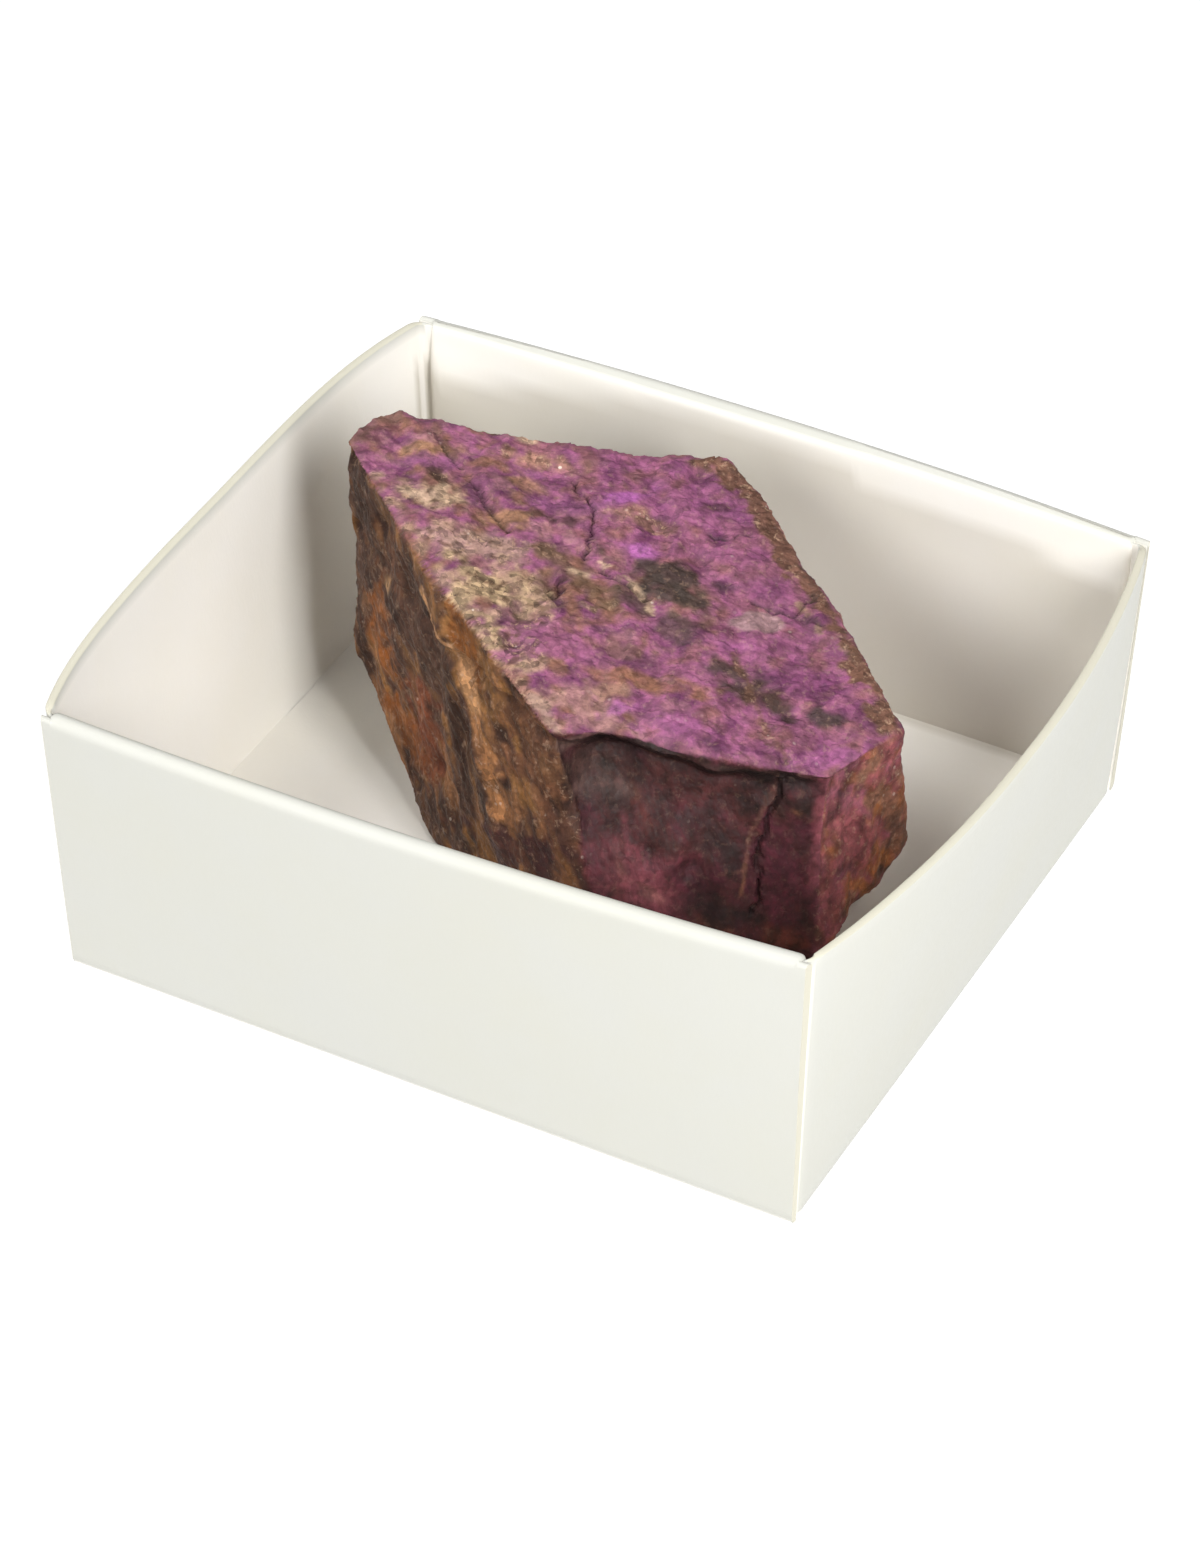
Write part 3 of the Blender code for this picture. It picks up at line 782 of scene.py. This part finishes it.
# Stains and mineral patches of each face, with a few strips of painted shade among them: colour, middle, half its
# run, half its width, strength
stonePatches = {
    "top": [
        ("roseBrown", (6.8, 33.2, 25.9), (1.5, -0.1, -0.3), 0.81, 0.8),  # behind the tip
        ("mauve", (6.2, 30.8, 25.8), (0.7, 1.7, 0.0), 0.82, 0.7),  # on the tip
        ("greyBrown", (5.2, 31.0, 26.1), (-0.1, 2.2, 0.2), 0.5, 0.8),  # dull edge of the tip
        ("greyBrown", (5.9, 33.7, 26.1), (1.1, 0.9, -0.1), 0.5, 0.85),  # dull edge behind the tip
        ("ochre", (9.4, 32.1, 25.2), (1.8, 1.5, -0.3), 0.74, 0.85),  # bar by the tip
        ("umberLight", (10.4, 33.6, 25.1), (1.8, -1.1, -0.5), 0.4, 0.7),  # gap behind the ochre
        ("magenta", (12.1, 35.3, 24.8), (1.7, 1.2, -0.3), 0.84, 0.6),  # bar at the back
        ("cream", (14.4, 37.0, 24.5), (0.8, 0.5, -0.1), 0.47, 0.8),  # fleck at the back
        ("tan", (16.0, 35.7, 24.0), (2.3, 0.9, -0.4), 0.85, 0.8),  # mottle at the back
        ("violet", (15.8, 34.7, 23.9), (2.1, 0.5, -0.4), 0.47, 0.7),
        ("violet", (10.7, 31.3, 24.8), (1.6, 1.0, -0.3), 0.74, 0.75),  # bar by the edge
        ("umber", (11.5, 30.1, 24.6), (0.9, -0.2, -0.2), 0.52, 0.85),
        ("magenta", (8.3, 28.6, 25.2), (2.1, -0.5, -0.5), 0.68, 0.7),  # along the left edge
        ("cream", (11.8, 28.5, 24.4), (2.6, 1.2, -0.5), 1.02, 0.85),
        ("deepViolet", (14.3, 30.1, 23.9), (1.4, -0.7, -0.4), 0.72, 0.85),  # behind the crack
        ("magenta", (16.2, 29.7, 23.5), (1.9, -1.5, -0.5), 0.67, 0.6),  # before the crack
        ("ochre", (17.6, 29.9, 23.2), (1.8, 0.2, -0.4), 0.91, 0.85),
        ("ochre", (16.9, 33.5, 23.6), (1.5, 0.4, -0.3), 0.75, 0.7),
        ("violet", (19.3, 33.0, 23.0), (2.4, 1.2, -0.4), 0.84, 0.65),
        ("umber", (19.6, 31.5, 22.8), (1.5, 0.5, -0.3), 0.46, 0.75),
        ("greyTan", (16.6, 26.0, 23.1), (3.1, 1.6, -0.6), 1.18, 0.75),
        ("goldCream", (20.2, 23.5, 22.1), (3.8, 1.3, -0.8), 1.8, 0.95),
        ("goldCream", (21.7, 19.3, 21.4), (2.8, -1.4, -0.7), 1.16, 0.9),  # crystals down the edge
        ("oliveCream", (22.2, 19.9, 21.3), (1.7, -0.5, -0.4), 0.74, 0.7),
        ("tan", (24.7, 16.8, 20.5), (2.4, -1.0, -0.6), 0.7, 0.8),  # foot of the crystals
        ("oliveBrown", (23.0, 27.7, 21.8), (2.4, -0.8, -0.6), 1.32, 0.85),  # hollow
        ("cream", (23.6, 28.3, 21.7), (1.1, 0.3, -0.2), 0.36, 0.75),
        ("magenta", (26.2, 21.9, 20.6), (4.0, 1.7, -0.8), 1.96, 0.8),  # field at the left
        ("deepViolet", (26.9, 24.6, 20.6), (1.4, 0.5, -0.3), 0.4, 0.85),
        ("greyBrown", (22.9, 42.2, 23.0), (2.3, 1.5, -0.4), 0.38, 0.5),  # edge at the back
        ("brightMagenta", (27.2, 39.2, 21.7), (3.4, 1.0, -0.7), 1.88, 0.6),  # field at the back
        ("brightViolet", (22.7, 36.4, 22.5), (1.0, 1.4, -0.1), 0.51, 0.9),
        ("tan", (24.4, 35.2, 22.1), (1.7, 0.4, -0.4), 0.84, 0.7),  # pale patch
        ("brightViolet", (25.8, 32.6, 21.5), (1.2, 0.3, -0.2), 0.74, 0.8),  # gem
        ("darkPlum", (28.0, 39.8, 21.6), (0.8, 0.6, -0.1), 0.37, 0.7),
        ("duskyRose", (31.0, 39.2, 20.9), (1.4, 0.7, -0.3), 0.56, 0.5),  # dull patch at the right
        ("oliveBrown", (28.9, 30.8, 20.8), (3.2, -0.3, -0.7), 2.1, 0.6),  # shade round the green lobes
        ("greenBlack", (28.1, 31.8, 21.0), (2.4, 0.5, -0.5), 1.19, 0.85),  # lobe
        ("greenBlack", (29.7, 30.5, 20.5), (1.6, 0.4, -0.3), 0.9, 0.85),  # its lower lobe
        ("greenBlack", (30.1, 28.0, 20.2), (2.3, -0.3, -0.6), 1.05, 0.7),  # trail out of the green
        ("greenBlack", (31.3, 33.3, 20.3), (0.9, 0.5, -0.2), 0.64, 0.55),  # ringed spot
        ("greyPink", (34.7, 32.0, 19.5), (1.4, 1.4, -0.2), 0.95, 1.0),  # grey inclusion
        ("magenta", (33.0, 37.0, 20.3), (4.3, 0.0, -1.0), 2.18, 0.45),  # big field
        ("brightMagenta", (33.8, 28.6, 19.4), (1.2, 0.8, -0.2), 0.71, 0.7),  # under the inclusion
        ("greenBlack", (35.9, 26.8, 18.8), (2.5, 0.2, -0.5), 1.2, 0.85),
        ("umber", (38.2, 26.6, 18.3), (1.9, 0.2, -0.4), 0.9, 0.8),  # beside it
        ("umber", (38.9, 26.6, 18.1), (1.1, -0.2, -0.3), 0.59, 0.9),  # pit
        ("deepMagenta", (40.5, 29.4, 18.0), (2.8, 0.1, -0.6), 1.24, 0.7),  # field at the right end
        ("greenBlack", (42.6, 27.3, 17.3), (1.2, 0.0, -0.3), 0.79, 0.9),  # spot at the right
        ("deepMagenta", (44.1, 29.5, 17.1), (2.1, -0.7, -0.5), 1.0, 0.6),
        ("brightMagenta", (44.2, 25.2, 16.8), (1.6, 1.9, -0.2), 0.58, 0.85),  # right end of the ridge
        ("orangeTan", (31.4, 22.7, 19.5), (2.7, 1.3, -0.5), 0.89, 0.85),
        ("greyBrown", (29.0, 23.9, 20.1), (1.7, 0.2, -0.4), 0.79, 0.75),  # above the orange
        ("magenta", (33.2, 25.0, 19.2), (1.5, 0.6, -0.3), 0.63, 0.8),  # by the orange
        ("pinkTan", (29.7, 18.6, 19.5), (2.7, 0.7, -0.6), 1.14, 0.8),  # near the front corner
        ("brightMagenta", (35.0, 20.9, 18.5), (4.0, 1.3, -0.8), 0.97, 0.75),  # ridge band
        ("brightViolet", (31.2, 19.5, 19.3), (0.6, 1.0, -0.1), 0.48, 0.6),  # fleck on the ridge
        ("greyTan", (27.8, 15.6, 19.7), (1.3, -0.7, -0.4), 0.53, 0.8),  # front corner
        ("goldCream", (40.9, 33.6, 18.2), (1.1, -0.2, -0.3), 0.44, 0.7),  # specks at the right edge
    ],
    "left": [
        ("deepUmber", (7.2, 27.7, 21.6), (0.5, -0.5, -4.2), 2.21, 0.9),
        ("oliveBrown", (9.7, 26.3, 24.5), (0.7, -0.5, -2.1), 1.53, 0.6),  # stain at the end
        ("goldBrown", (8.2, 27.2, 25.6), (0.7, -0.5, -0.3), 0.60, 0.5),  # under the tip
        ("purpleBrown", (8.9, 26.6, 19.8), (2.7, -1.6, 1.8), 1.32, 0.75),  # under the end
        ("umberLight", (11.8, 24.7, 20.4), (0.7, -0.6, -2.2), 1.52, 0.6),  # by the upper edge
        ("goldCream", (10.4, 25.6, 18.3), (0.6, -0.4, 0.3), 0.50, 0.5),
        ("rust", (9.4, 26.0, 13.1), (0.7, -0.6, -3.5), 2.16, 0.95),
        ("deepUmber", (6.9, 27.5, 11.1), (0.2, -0.3, -3.6), 0.93, 0.9),  # edge strip: painted shade under the left end
        ("purpleBrown", (15.2, 22.5, 17.7), (1.5, -1.1, -4.0), 4.59, 0.95),  # large patch
        ("redRust", (14.5, 22.6, 9.1), (1.0, -0.8, -3.3), 2.21, 0.85),  # low band
        ("rust", (12.2, 24.0, 7.3), (1.5, -1.0, -2.2), 1.46, 0.6),
        ("deepUmber", (19.4, 19.6, 12.3), (1.1, -0.9, -4.8), 1.60, 0.7),  # furrow by the ochre line
        ("tanBrown", (17.7, 20.5, 7.5), (0.5, -0.4, -1.8), 0.83, 0.75),
        ("goldBrown", (20.9, 19.0, 19.5), (2.6, -1.8, -3.2), 2.38, 0.9),  # band beside the line
        ("orangeBrown", (19.9, 19.7, 21.3), (1.4, -1.0, -2.5), 0.84, 0.6),  # streak in the gold
        ("umberLight", (26.2, 15.5, 17.8), (2.5, -1.7, -1.5), 3.81, 0.8),
        ("deepUmber", (24.8, 16.4, 18.1), (0.9, -0.6, -1.0), 0.67, 0.5),  # streak in the facet
        ("oliveBrown", (29.4, 13.5, 17.0), (1.2, -0.8, -1.3), 1.32, 0.7),  # stain at the corner
        ("umber", (27.2, 15.0, 19.0), (0.8, -0.5, -0.5), 0.63, 0.7),
        ("purpleBrown", (13.5, 22.9, 1.7), (2.2, -1.4, -0.9), 3.01, 0.85),  # low left
        ("darkPlum", (24.5, 16.2, 8.0), (5.0, -3.1, 2.6), 1.38, 0.8),
        ("tanBrown", (25.1, 15.9, 11.9), (0.9, -0.6, -0.7), 1.50, 0.8),
        ("goldBrown", (21.5, 18.0, 6.1), (0.6, -0.4, -1.2), 1.04, 0.7),  # streak at the foot
        ("tanBrown", (32.2, 11.5, 12.6), (1.3, -0.8, 0.1), 0.92, 0.7),  # low right
        ("umber", (29.9, 13.0, 13.4), (0.7, -0.5, -0.7), 1.00, 0.6),  # by the corner
    ],
    "front": [
        ("purple", (42.8, 21.1, 9.4), (1.0, 0.0, -3.6), 2.26, 0.7),
        ("smoke", (31.6, 15.9, 16.1), (2.5, 1.2, -0.9), 1.81, 0.95),  # glass under the arch
        ("plumBrown", (36.9, 18.8, 15.2), (3.9, 2.0, -1.1), 2.13, 0.9),  # middle
        ("plumBrown", (34.2, 16.8, 12.3), (2.8, 1.4, -1.1), 1.37, 0.8),  # under the smoke
        ("paleSmoke", (32.1, 16.1, 15.0), (2.0, 1.0, -0.5), 0.38, 0.55),
        ("paleSmoke", (30.8, 15.4, 15.8), (0.8, 0.5, 0.6), 0.37, 0.4),  # streak at the left
        ("blackPlum", (33.9, 17.6, 18.4), (2.7, 1.5, -0.3), 0.95, 0.95),  # band under the ridge: dark colour with painted shade from the overhang
        ("greenBlack", (40.0, 20.8, 16.9), (3.9, 2.0, -1.2), 0.60, 0.9),  # its right end, also dark colour with painted shade
        ("paleSmoke", (29.6, 15.3, 19.1), (1.1, 0.7, 0.4), 0.55, 0.95),  # corner of the lip
        ("rosePlum", (34.0, 16.3, 9.8), (2.7, 1.3, -1.1), 1.68, 0.75),  # low left
        ("pinkTan", (33.1, 15.9, 10.6), (0.3, 0.0, -0.9), 0.33, 0.6),  # fleck low left
        ("pinkTan", (35.0, 16.6, 8.6), (0.5, 0.2, -0.6), 0.35, 0.55),  # fleck at the foot
        ("rosePlum", (33.5, 16.3, 12.1), (0.3, 0.0, -1.2), 0.26, 0.6),
        ("purple", (37.4, 18.0, 8.8), (1.4, 0.6, -1.3), 1.02, 0.8),
        ("blackPlum", (39.5, 18.8, 6.6), (2.0, 1.0, -0.8), 0.92, 0.85),
        ("blackPlum", (38.9, 19.3, 11.4), (1.3, 0.4, -1.7), 0.98, 0.5),
        ("tanBrown", (43.1, 21.9, 13.7), (0.3, 0.1, -0.2), 0.22, 0.6),
        ("rosePlum", (44.6, 22.4, 11.7), (0.1, -0.6, -4.2), 0.53, 0.9),  # beside the edge
        ("redRust", (43.2, 20.5, 4.2), (1.8, 0.9, -0.7), 0.70, 0.7),
    ],
    "right": [
        ("mauve", (45.6, 25.0, 14.5), (0.2, 0.9, -2.0), 1.34, 0.8),
        ("mauve", (45.5, 24.9, 12.5), (0.1, 0.6, -2.7), 1.43, 0.7),
        ("redBrown", (45.3, 25.9, 9.9), (0.4, 1.9, -2.8), 0.96, 0.8),
        ("umberLight", (46.2, 29.8, 8.8), (0.0, 0.7, -4.3), 0.88, 0.9),  # far edge
        ("rust", (45.1, 25.9, 5.9), (0.3, 1.5, -1.1), 0.65, 0.7),
        ("umber", (45.9, 28.8, 5.3), (0.4, 1.6, -0.9), 0.39, 0.8),  # under edge
        ("redBrown", (44.5, 23.4, 5.4), (-0.1, -0.1, -3.7), 0.98, 0.7),
    ],
}
# painted highlights: crystal faces that catch the light
stoneSparkles = [(25.3, 22.7, 20.8), (37.3, 29.6, 18.7), (29.3, 18.8, 19.6),
                 (28.7, 22.3, 20.0), (22.6, 32.0, 22.2), (19.9, 24.3, 22.2)]


def faceShares(normals):
    weights = np.stack([np.exp(9.0 * (normals @ np.array(f["way"]))) for f in stoneFaces.values()])
    return dict(zip(stoneFaces, weights / weights.sum(axis=0)))


# How the stone's colours are laid over each other: the strength of each layer
stoneMix = {
    "crust": 0.8,                       # pale crust over the ground colours
    "browner": 0.85, "paler": 0.5,      # mottles in the left part of the top
    "gold": 0.55,                       # grey cream between the gold crystals
    "specks": (0.12, 0.6),              # dark specks, and how many more on pale matrix
    # lip: partly the stone's own dark colour, partly painted shade under the front ridge
    "lip": 0.9, "cracks": 0.6, "pits": 0.36,
    "patchEdge": {"top": 0.45, "left": 0.4, "front": 0.7, "right": 0.4},     # how softly patches end
    "paleMatrix": ("cream", "goldCream", "greyTan", "oliveCream", "tan"),
}


def tinted(colours, name, share):
    return colours + share[:, None] * (toLinear(stoneColours[name]) - colours)


def groundTint(points, shares, coarse, middle, fine, crust):
    colours = np.zeros((len(points), 3))
    for name, face in stoneFaces.items():
        ground = np.tile(toLinear(stoneColours[face["ground"]]), (len(points), 1))
        ground = tinted(ground, face["pale"], smoothStep(0.0, 0.5, coarse + 0.35 * middle))
        ground = tinted(ground, face["deep"], smoothStep(0.0, 0.5, -coarse + 0.25 * fine))
        ground = tinted(ground, face["crust"], stoneMix["crust"] * smoothStep(-0.12, 0.24, crust - face["bare"]))
        colours += shares[name][:, None] * ground
    return colours


def paintMarks(colours, points, shares, ragged, waver):
    # the patches and then the seams, and how much of each place they make pale matrix
    matrix = np.zeros(len(points))
    for face, colour, centre, halfRun, halfWidth, strength in listed(stonePatches):
        way, run = np.array(stoneFaces[face]["way"]), np.array(halfRun)
        length = np.linalg.norm(run)
        across = np.cross(way, run / length)
        offset = points - centre
        far = np.hypot(offset @ run / length ** 2, offset @ across / halfWidth)
        if strength >= 1.0:                       # a single grain keeps a clean edge
            mask = smoothStep(-0.15, 0.15, 1.0 - far + 0.3 * ragged)
        else:
            soft = stoneMix["patchEdge"][face]
            mask = strength * smoothStep(-soft, soft, 1.0 - far + ragged) * smoothStep(0.25, 0.6, shares[face])
        colours = tinted(colours, colour, mask)
        if colour in stoneMix["paleMatrix"]:
            matrix = np.maximum(matrix, mask)
    for face, colour, corners, halfWidth, strength in listed(stoneSeams):
        far = nearPath(points + 0.3 * waver, corners, stoneFaces[face]["way"]) / halfWidth
        mask = strength * smoothStep(-0.25, 0.35, 1.0 - far + 0.9 * ragged) * smoothStep(0.15, 0.5, shares[face])
        colours = tinted(colours, colour, mask)
        matrix = np.maximum(matrix, 0.6 * mask)
    return colours, matrix


def stoneTint(points, normals, parts):
    mix = stoneMix
    shares = faceShares(normals)
    bladed = stretched(points, stoneShape["topStreaks"], 1.15)
    fibrous = stretched(points, stoneShape["sideFibres"], 2.8)
    fromGold = nearLine(points, *stoneShape["goldLine"])
    top, front = shares["top"], shares["front"]
    coarse = top * noiseAt(bladed, 1.6, 41.0) + (1.0 - top) * noiseAt(fibrous, 1.3, 43.0)
    middle = top * noiseAt(bladed, 0.75, 47.0) + (1.0 - top) * noiseAt(fibrous, 0.7, 53.0)
    fine = top * noiseAt(points, 0.42, 59.0) + (1.0 - top) * noiseAt(fibrous, 0.35, 61.0)
    # the pale crust is thickest along the gold crystals and gives out towards the far right end
    crust = top * noisesAt(points, (1.4, 83.0, 0.6), (0.8, 89.0, 0.35), (4.0, 97.0, 0.35))
    crust += (1.0 - top) * noisesAt(fibrous, (1.5, 83.0, 0.55), (0.8, 89.0, 0.3))
    crust -= top * 0.34 * smoothStep(2.0, 13.0, fromGold)
    colours = groundTint(points, shares, coarse, middle, fine, crust)

    mottle = noisesAt(points, (1.2, 103.0, 1.0), (2.6, 107.0, 0.7), (0.6, 109.0, 0.2))
    leftPart = top * (1.0 - 0.75 * smoothStep(7.0, 15.0, fromGold))
    colours = tinted(colours, "roseBrown", mix["browner"] * leftPart * smoothStep(0.0, 0.5, mottle))
    colours = tinted(colours, "pinkTan", mix["paler"] * leftPart * smoothStep(0.1, 0.5, -mottle))
    gold = top * smoothStep(-0.1, 0.25, crust - 0.3 * smoothStep(0.5, 6.0, fromGold))
    gold *= smoothStep(8.0, 3.0, fromGold)
    colours = tinted(colours, "greyCream", mix["gold"] * gold)
    ragged = noisesAt(points, (2.3, 67.0, 1.0), (1.0, 73.0, 0.9), (0.5, 79.0, 0.35)) * (1.0 - 0.45 * front)
    colours, matrix = paintMarks(colours, points, shares, ragged, np.stack([coarse, ragged, middle], axis=1))
    matrix = np.maximum(matrix, 0.8 * gold)

    dark = smoothStep(0.15, 0.45, -fine - 0.5 * middle)
    colours = tinted(colours, "umberLight", (mix["specks"][0] + mix["specks"][1] * matrix) * dark)
    # painted highlights where crystal faces catch the light
    for spot in stoneSparkles:
        near = 1.0 - smoothStep(0.1, 0.32, np.linalg.norm(points - spot, axis=1) - 0.12 * np.abs(fine))
        colours = tinted(colours, "sparkle", near)
    # the lip under the front ridge: dark colour and painted shade
    colours = tinted(colours, "blackPlum", mix["lip"] * parts["lip"])
    colours = tinted(colours, "black", np.maximum(mix["cracks"] * parts["cracks"], mix["pits"] * parts["pits"]))
    # painted light and shade: each face's colours scaled lighter or darker as a whole, by how the lamps light it
    lift = sum(shares[name][:, None] * np.array(face["lift"]) for name, face in stoneFaces.items())
    bright = 1.0 + 0.3 * middle + 0.3 * fine + 0.22 * noiseAt(points, 4.5, 101.0)
    bright += shares["right"] * (0.7 * noiseAt(fibrous, 1.2, 113.0) + 0.3 * middle)
    bright += front * noisesAt(points, (1.7, 127.0, 0.45), (0.55, 131.0, 0.4))
    crumbs = (0.2 * top + 0.3 * (1.0 - top) + 0.75 * matrix) * (1.0 - 0.8 * smoothStep(0.5, 0.9, front))
    return colours * lift * bright[:, None], crumbs, top


stoneLook = {
    "roughness": (0.5, 0.8), "specular": 0.28,
    "grainHeight": 0.08, "facetHeight": 0.07, "facetsPerMm": 2.6,
    "glintsPerMm": 1.3, "grainsPerMm": 2.2, "grainTone": (0.55, 1.5), "leastGrains": 0.4,
    "shadeLow": (0.78, 0.77, 0.77), "shadeHigh": (1.24, 1.23, 1.23),
    "paleCrumb": (0.47, 0.30, 0.20), "darkCrumb": (0.08, 0.045, 0.036), "glint": (0.85, 0.72, 0.62),
}


def makeStoneMaterial():
    look = stoneLook
    material, tree, shader = startMaterial("purpuriteStone")
    place = stretchedPlace(tree, (1.0, 1.0, 1.0))
    turn = Vector(stoneShape["sideFibres"]).rotation_difference(Vector((0.0, 0.0, 1.0))).to_euler()
    fibrePlace = stretchedPlace(tree, (1.0, 1.0, 0.4), [math.degrees(a) for a in turn])
    grain = noiseOf(tree, place, 3.0, 5.0, 0.7)
    fibres = noiseOf(tree, fibrePlace, 3.4, 4.0, 0.65)
    topShare = attributeOf(tree, "topShare")
    texture = mixedValue(tree, topShare, fibres, grain)
    colour = attributeOf(tree, "tint", "Color")
    shades = blended(tree, rampOf(tree, texture, 0.32, 0.68), look["shadeLow"], look["shadeHigh"])
    colour = blended(tree, 1.0, colour, shades, "MULTIPLY")
    # every crystal grain has its own tone; then crumbs of pale matrix and dark oxide
    crumbs = attributeOf(tree, "crumbs")
    crystals = addNode(tree, "ShaderNodeTexVoronoi", {"feature": "F1"}, Vector=place, Scale=look["grainsPerMm"])
    tone = rampOf(tree, crystals.outputs["Color"], 0.2, 0.8, *look["grainTone"])
    grainShare = mathOf(tree, "MAXIMUM", crumbs, look["leastGrains"])
    colour = blended(tree, 1.0, colour, mixedValue(tree, grainShare, 1.0, tone), "MULTIPLY")
    pale = rampOf(tree, noiseOf(tree, place, 1.9, 4.0, 0.7, 0.4), 0.56, 0.66)
    colour = blended(tree, mathOf(tree, "MULTIPLY", pale, crumbs), colour, look["paleCrumb"])
    oxide = rampOf(tree, noiseOf(tree, place, 2.3, 3.0, 0.65, 0.6), 0.40, 0.30)
    colour = blended(tree, mathOf(tree, "MULTIPLY", oxide, crumbs), colour, look["darkCrumb"])
    # painted glints: small bright specks in the crumbs
    glints = addNode(tree, "ShaderNodeTexVoronoi", {"feature": "F1"}, Vector=place, Scale=look["glintsPerMm"])
    fewGlints = rampOf(tree, noiseOf(tree, place, 0.45, 2.0), 0.58, 0.68)
    glint = mathOf(tree, "MULTIPLY", rampOf(tree, glints.outputs["Distance"], 0.2, 0.12), fewGlints)
    glint = mathOf(tree, "MULTIPLY", glint, crumbs)
    colour = blended(tree, glint, colour, look["glint"])
    feed(tree, shader.inputs["Base Color"], colour)
    feed(tree, shader.inputs["Roughness"], rampOf(tree, texture, 0.3, 0.7, *look["roughness"]))
    cells = addNode(tree, "ShaderNodeTexVoronoi", {"feature": "F1"}, Vector=place, Scale=look["facetsPerMm"])
    facets = bumpOf(tree, cells.outputs["Distance"], look["facetHeight"], 0.6)
    feed(tree, shader.inputs["Normal"], bumpOf(tree, texture, look["grainHeight"], 0.8, facets))
    shader.inputs["Specular IOR Level"].default_value = look["specular"]
    return material


def flattenFoot(mesh):
    work = bmesh.new()
    work.from_mesh(mesh)
    bmesh.ops.bisect_plane(
        work, geom=work.verts[:] + work.edges[:] + work.faces[:],
        plane_co=(0.0, 0.0, stoneShape["foot"]), plane_no=(0.0, 0.0, 1.0), clear_inner=True)
    bmesh.ops.holes_fill(work, edges=[e for e in work.edges if e.is_boundary], sides=0)
    bmesh.ops.triangulate(work, faces=[f for f in work.faces if len(f.verts) > 4])
    bmesh.ops.recalc_face_normals(work, faces=work.faces)
    work.to_mesh(mesh)
    work.free()


def makeStone():
    stone = stoneBlank()
    mesh = stone.data
    points, normals = readPoints(mesh), readNormals(mesh)
    print("stone blank,", len(points), "points")
    height, parts = stoneRelief(points, normals)
    roughened = points + normals * height[:, None] + edgeBites(points)
    print("stone relief done")
    colours, crumbs, topShare = stoneTint(roughened, normals, parts)
    mesh.vertices.foreach_set("co", roughened.ravel())
    addColours(mesh, "tint", colours)
    addValues(mesh, "crumbs", crumbs)
    addValues(mesh, "topShare", topShare)
    flattenFoot(mesh)
    points = toWorld(readPoints(mesh))
    kept = keepInside(points, "purpurite")
    heldBack = np.abs(points - kept).max(axis=1) / mm
    print("held back at the box:", int((heldBack > 0.001).sum()), "points, up to",
          round(float(heldBack.max()), 3), "mm")
    mesh.vertices.foreach_set("co", kept.ravel())
    mesh.update()
    mesh.materials.clear()
    mesh.materials.append(makeStoneMaterial())
    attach(stone, "root")
    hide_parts("purpurite")
    print("stone made,", sum(len(p.vertices) - 2 for p in mesh.polygons), "triangles")


setCamera()
setStudio()
makeTray()
makeStone()
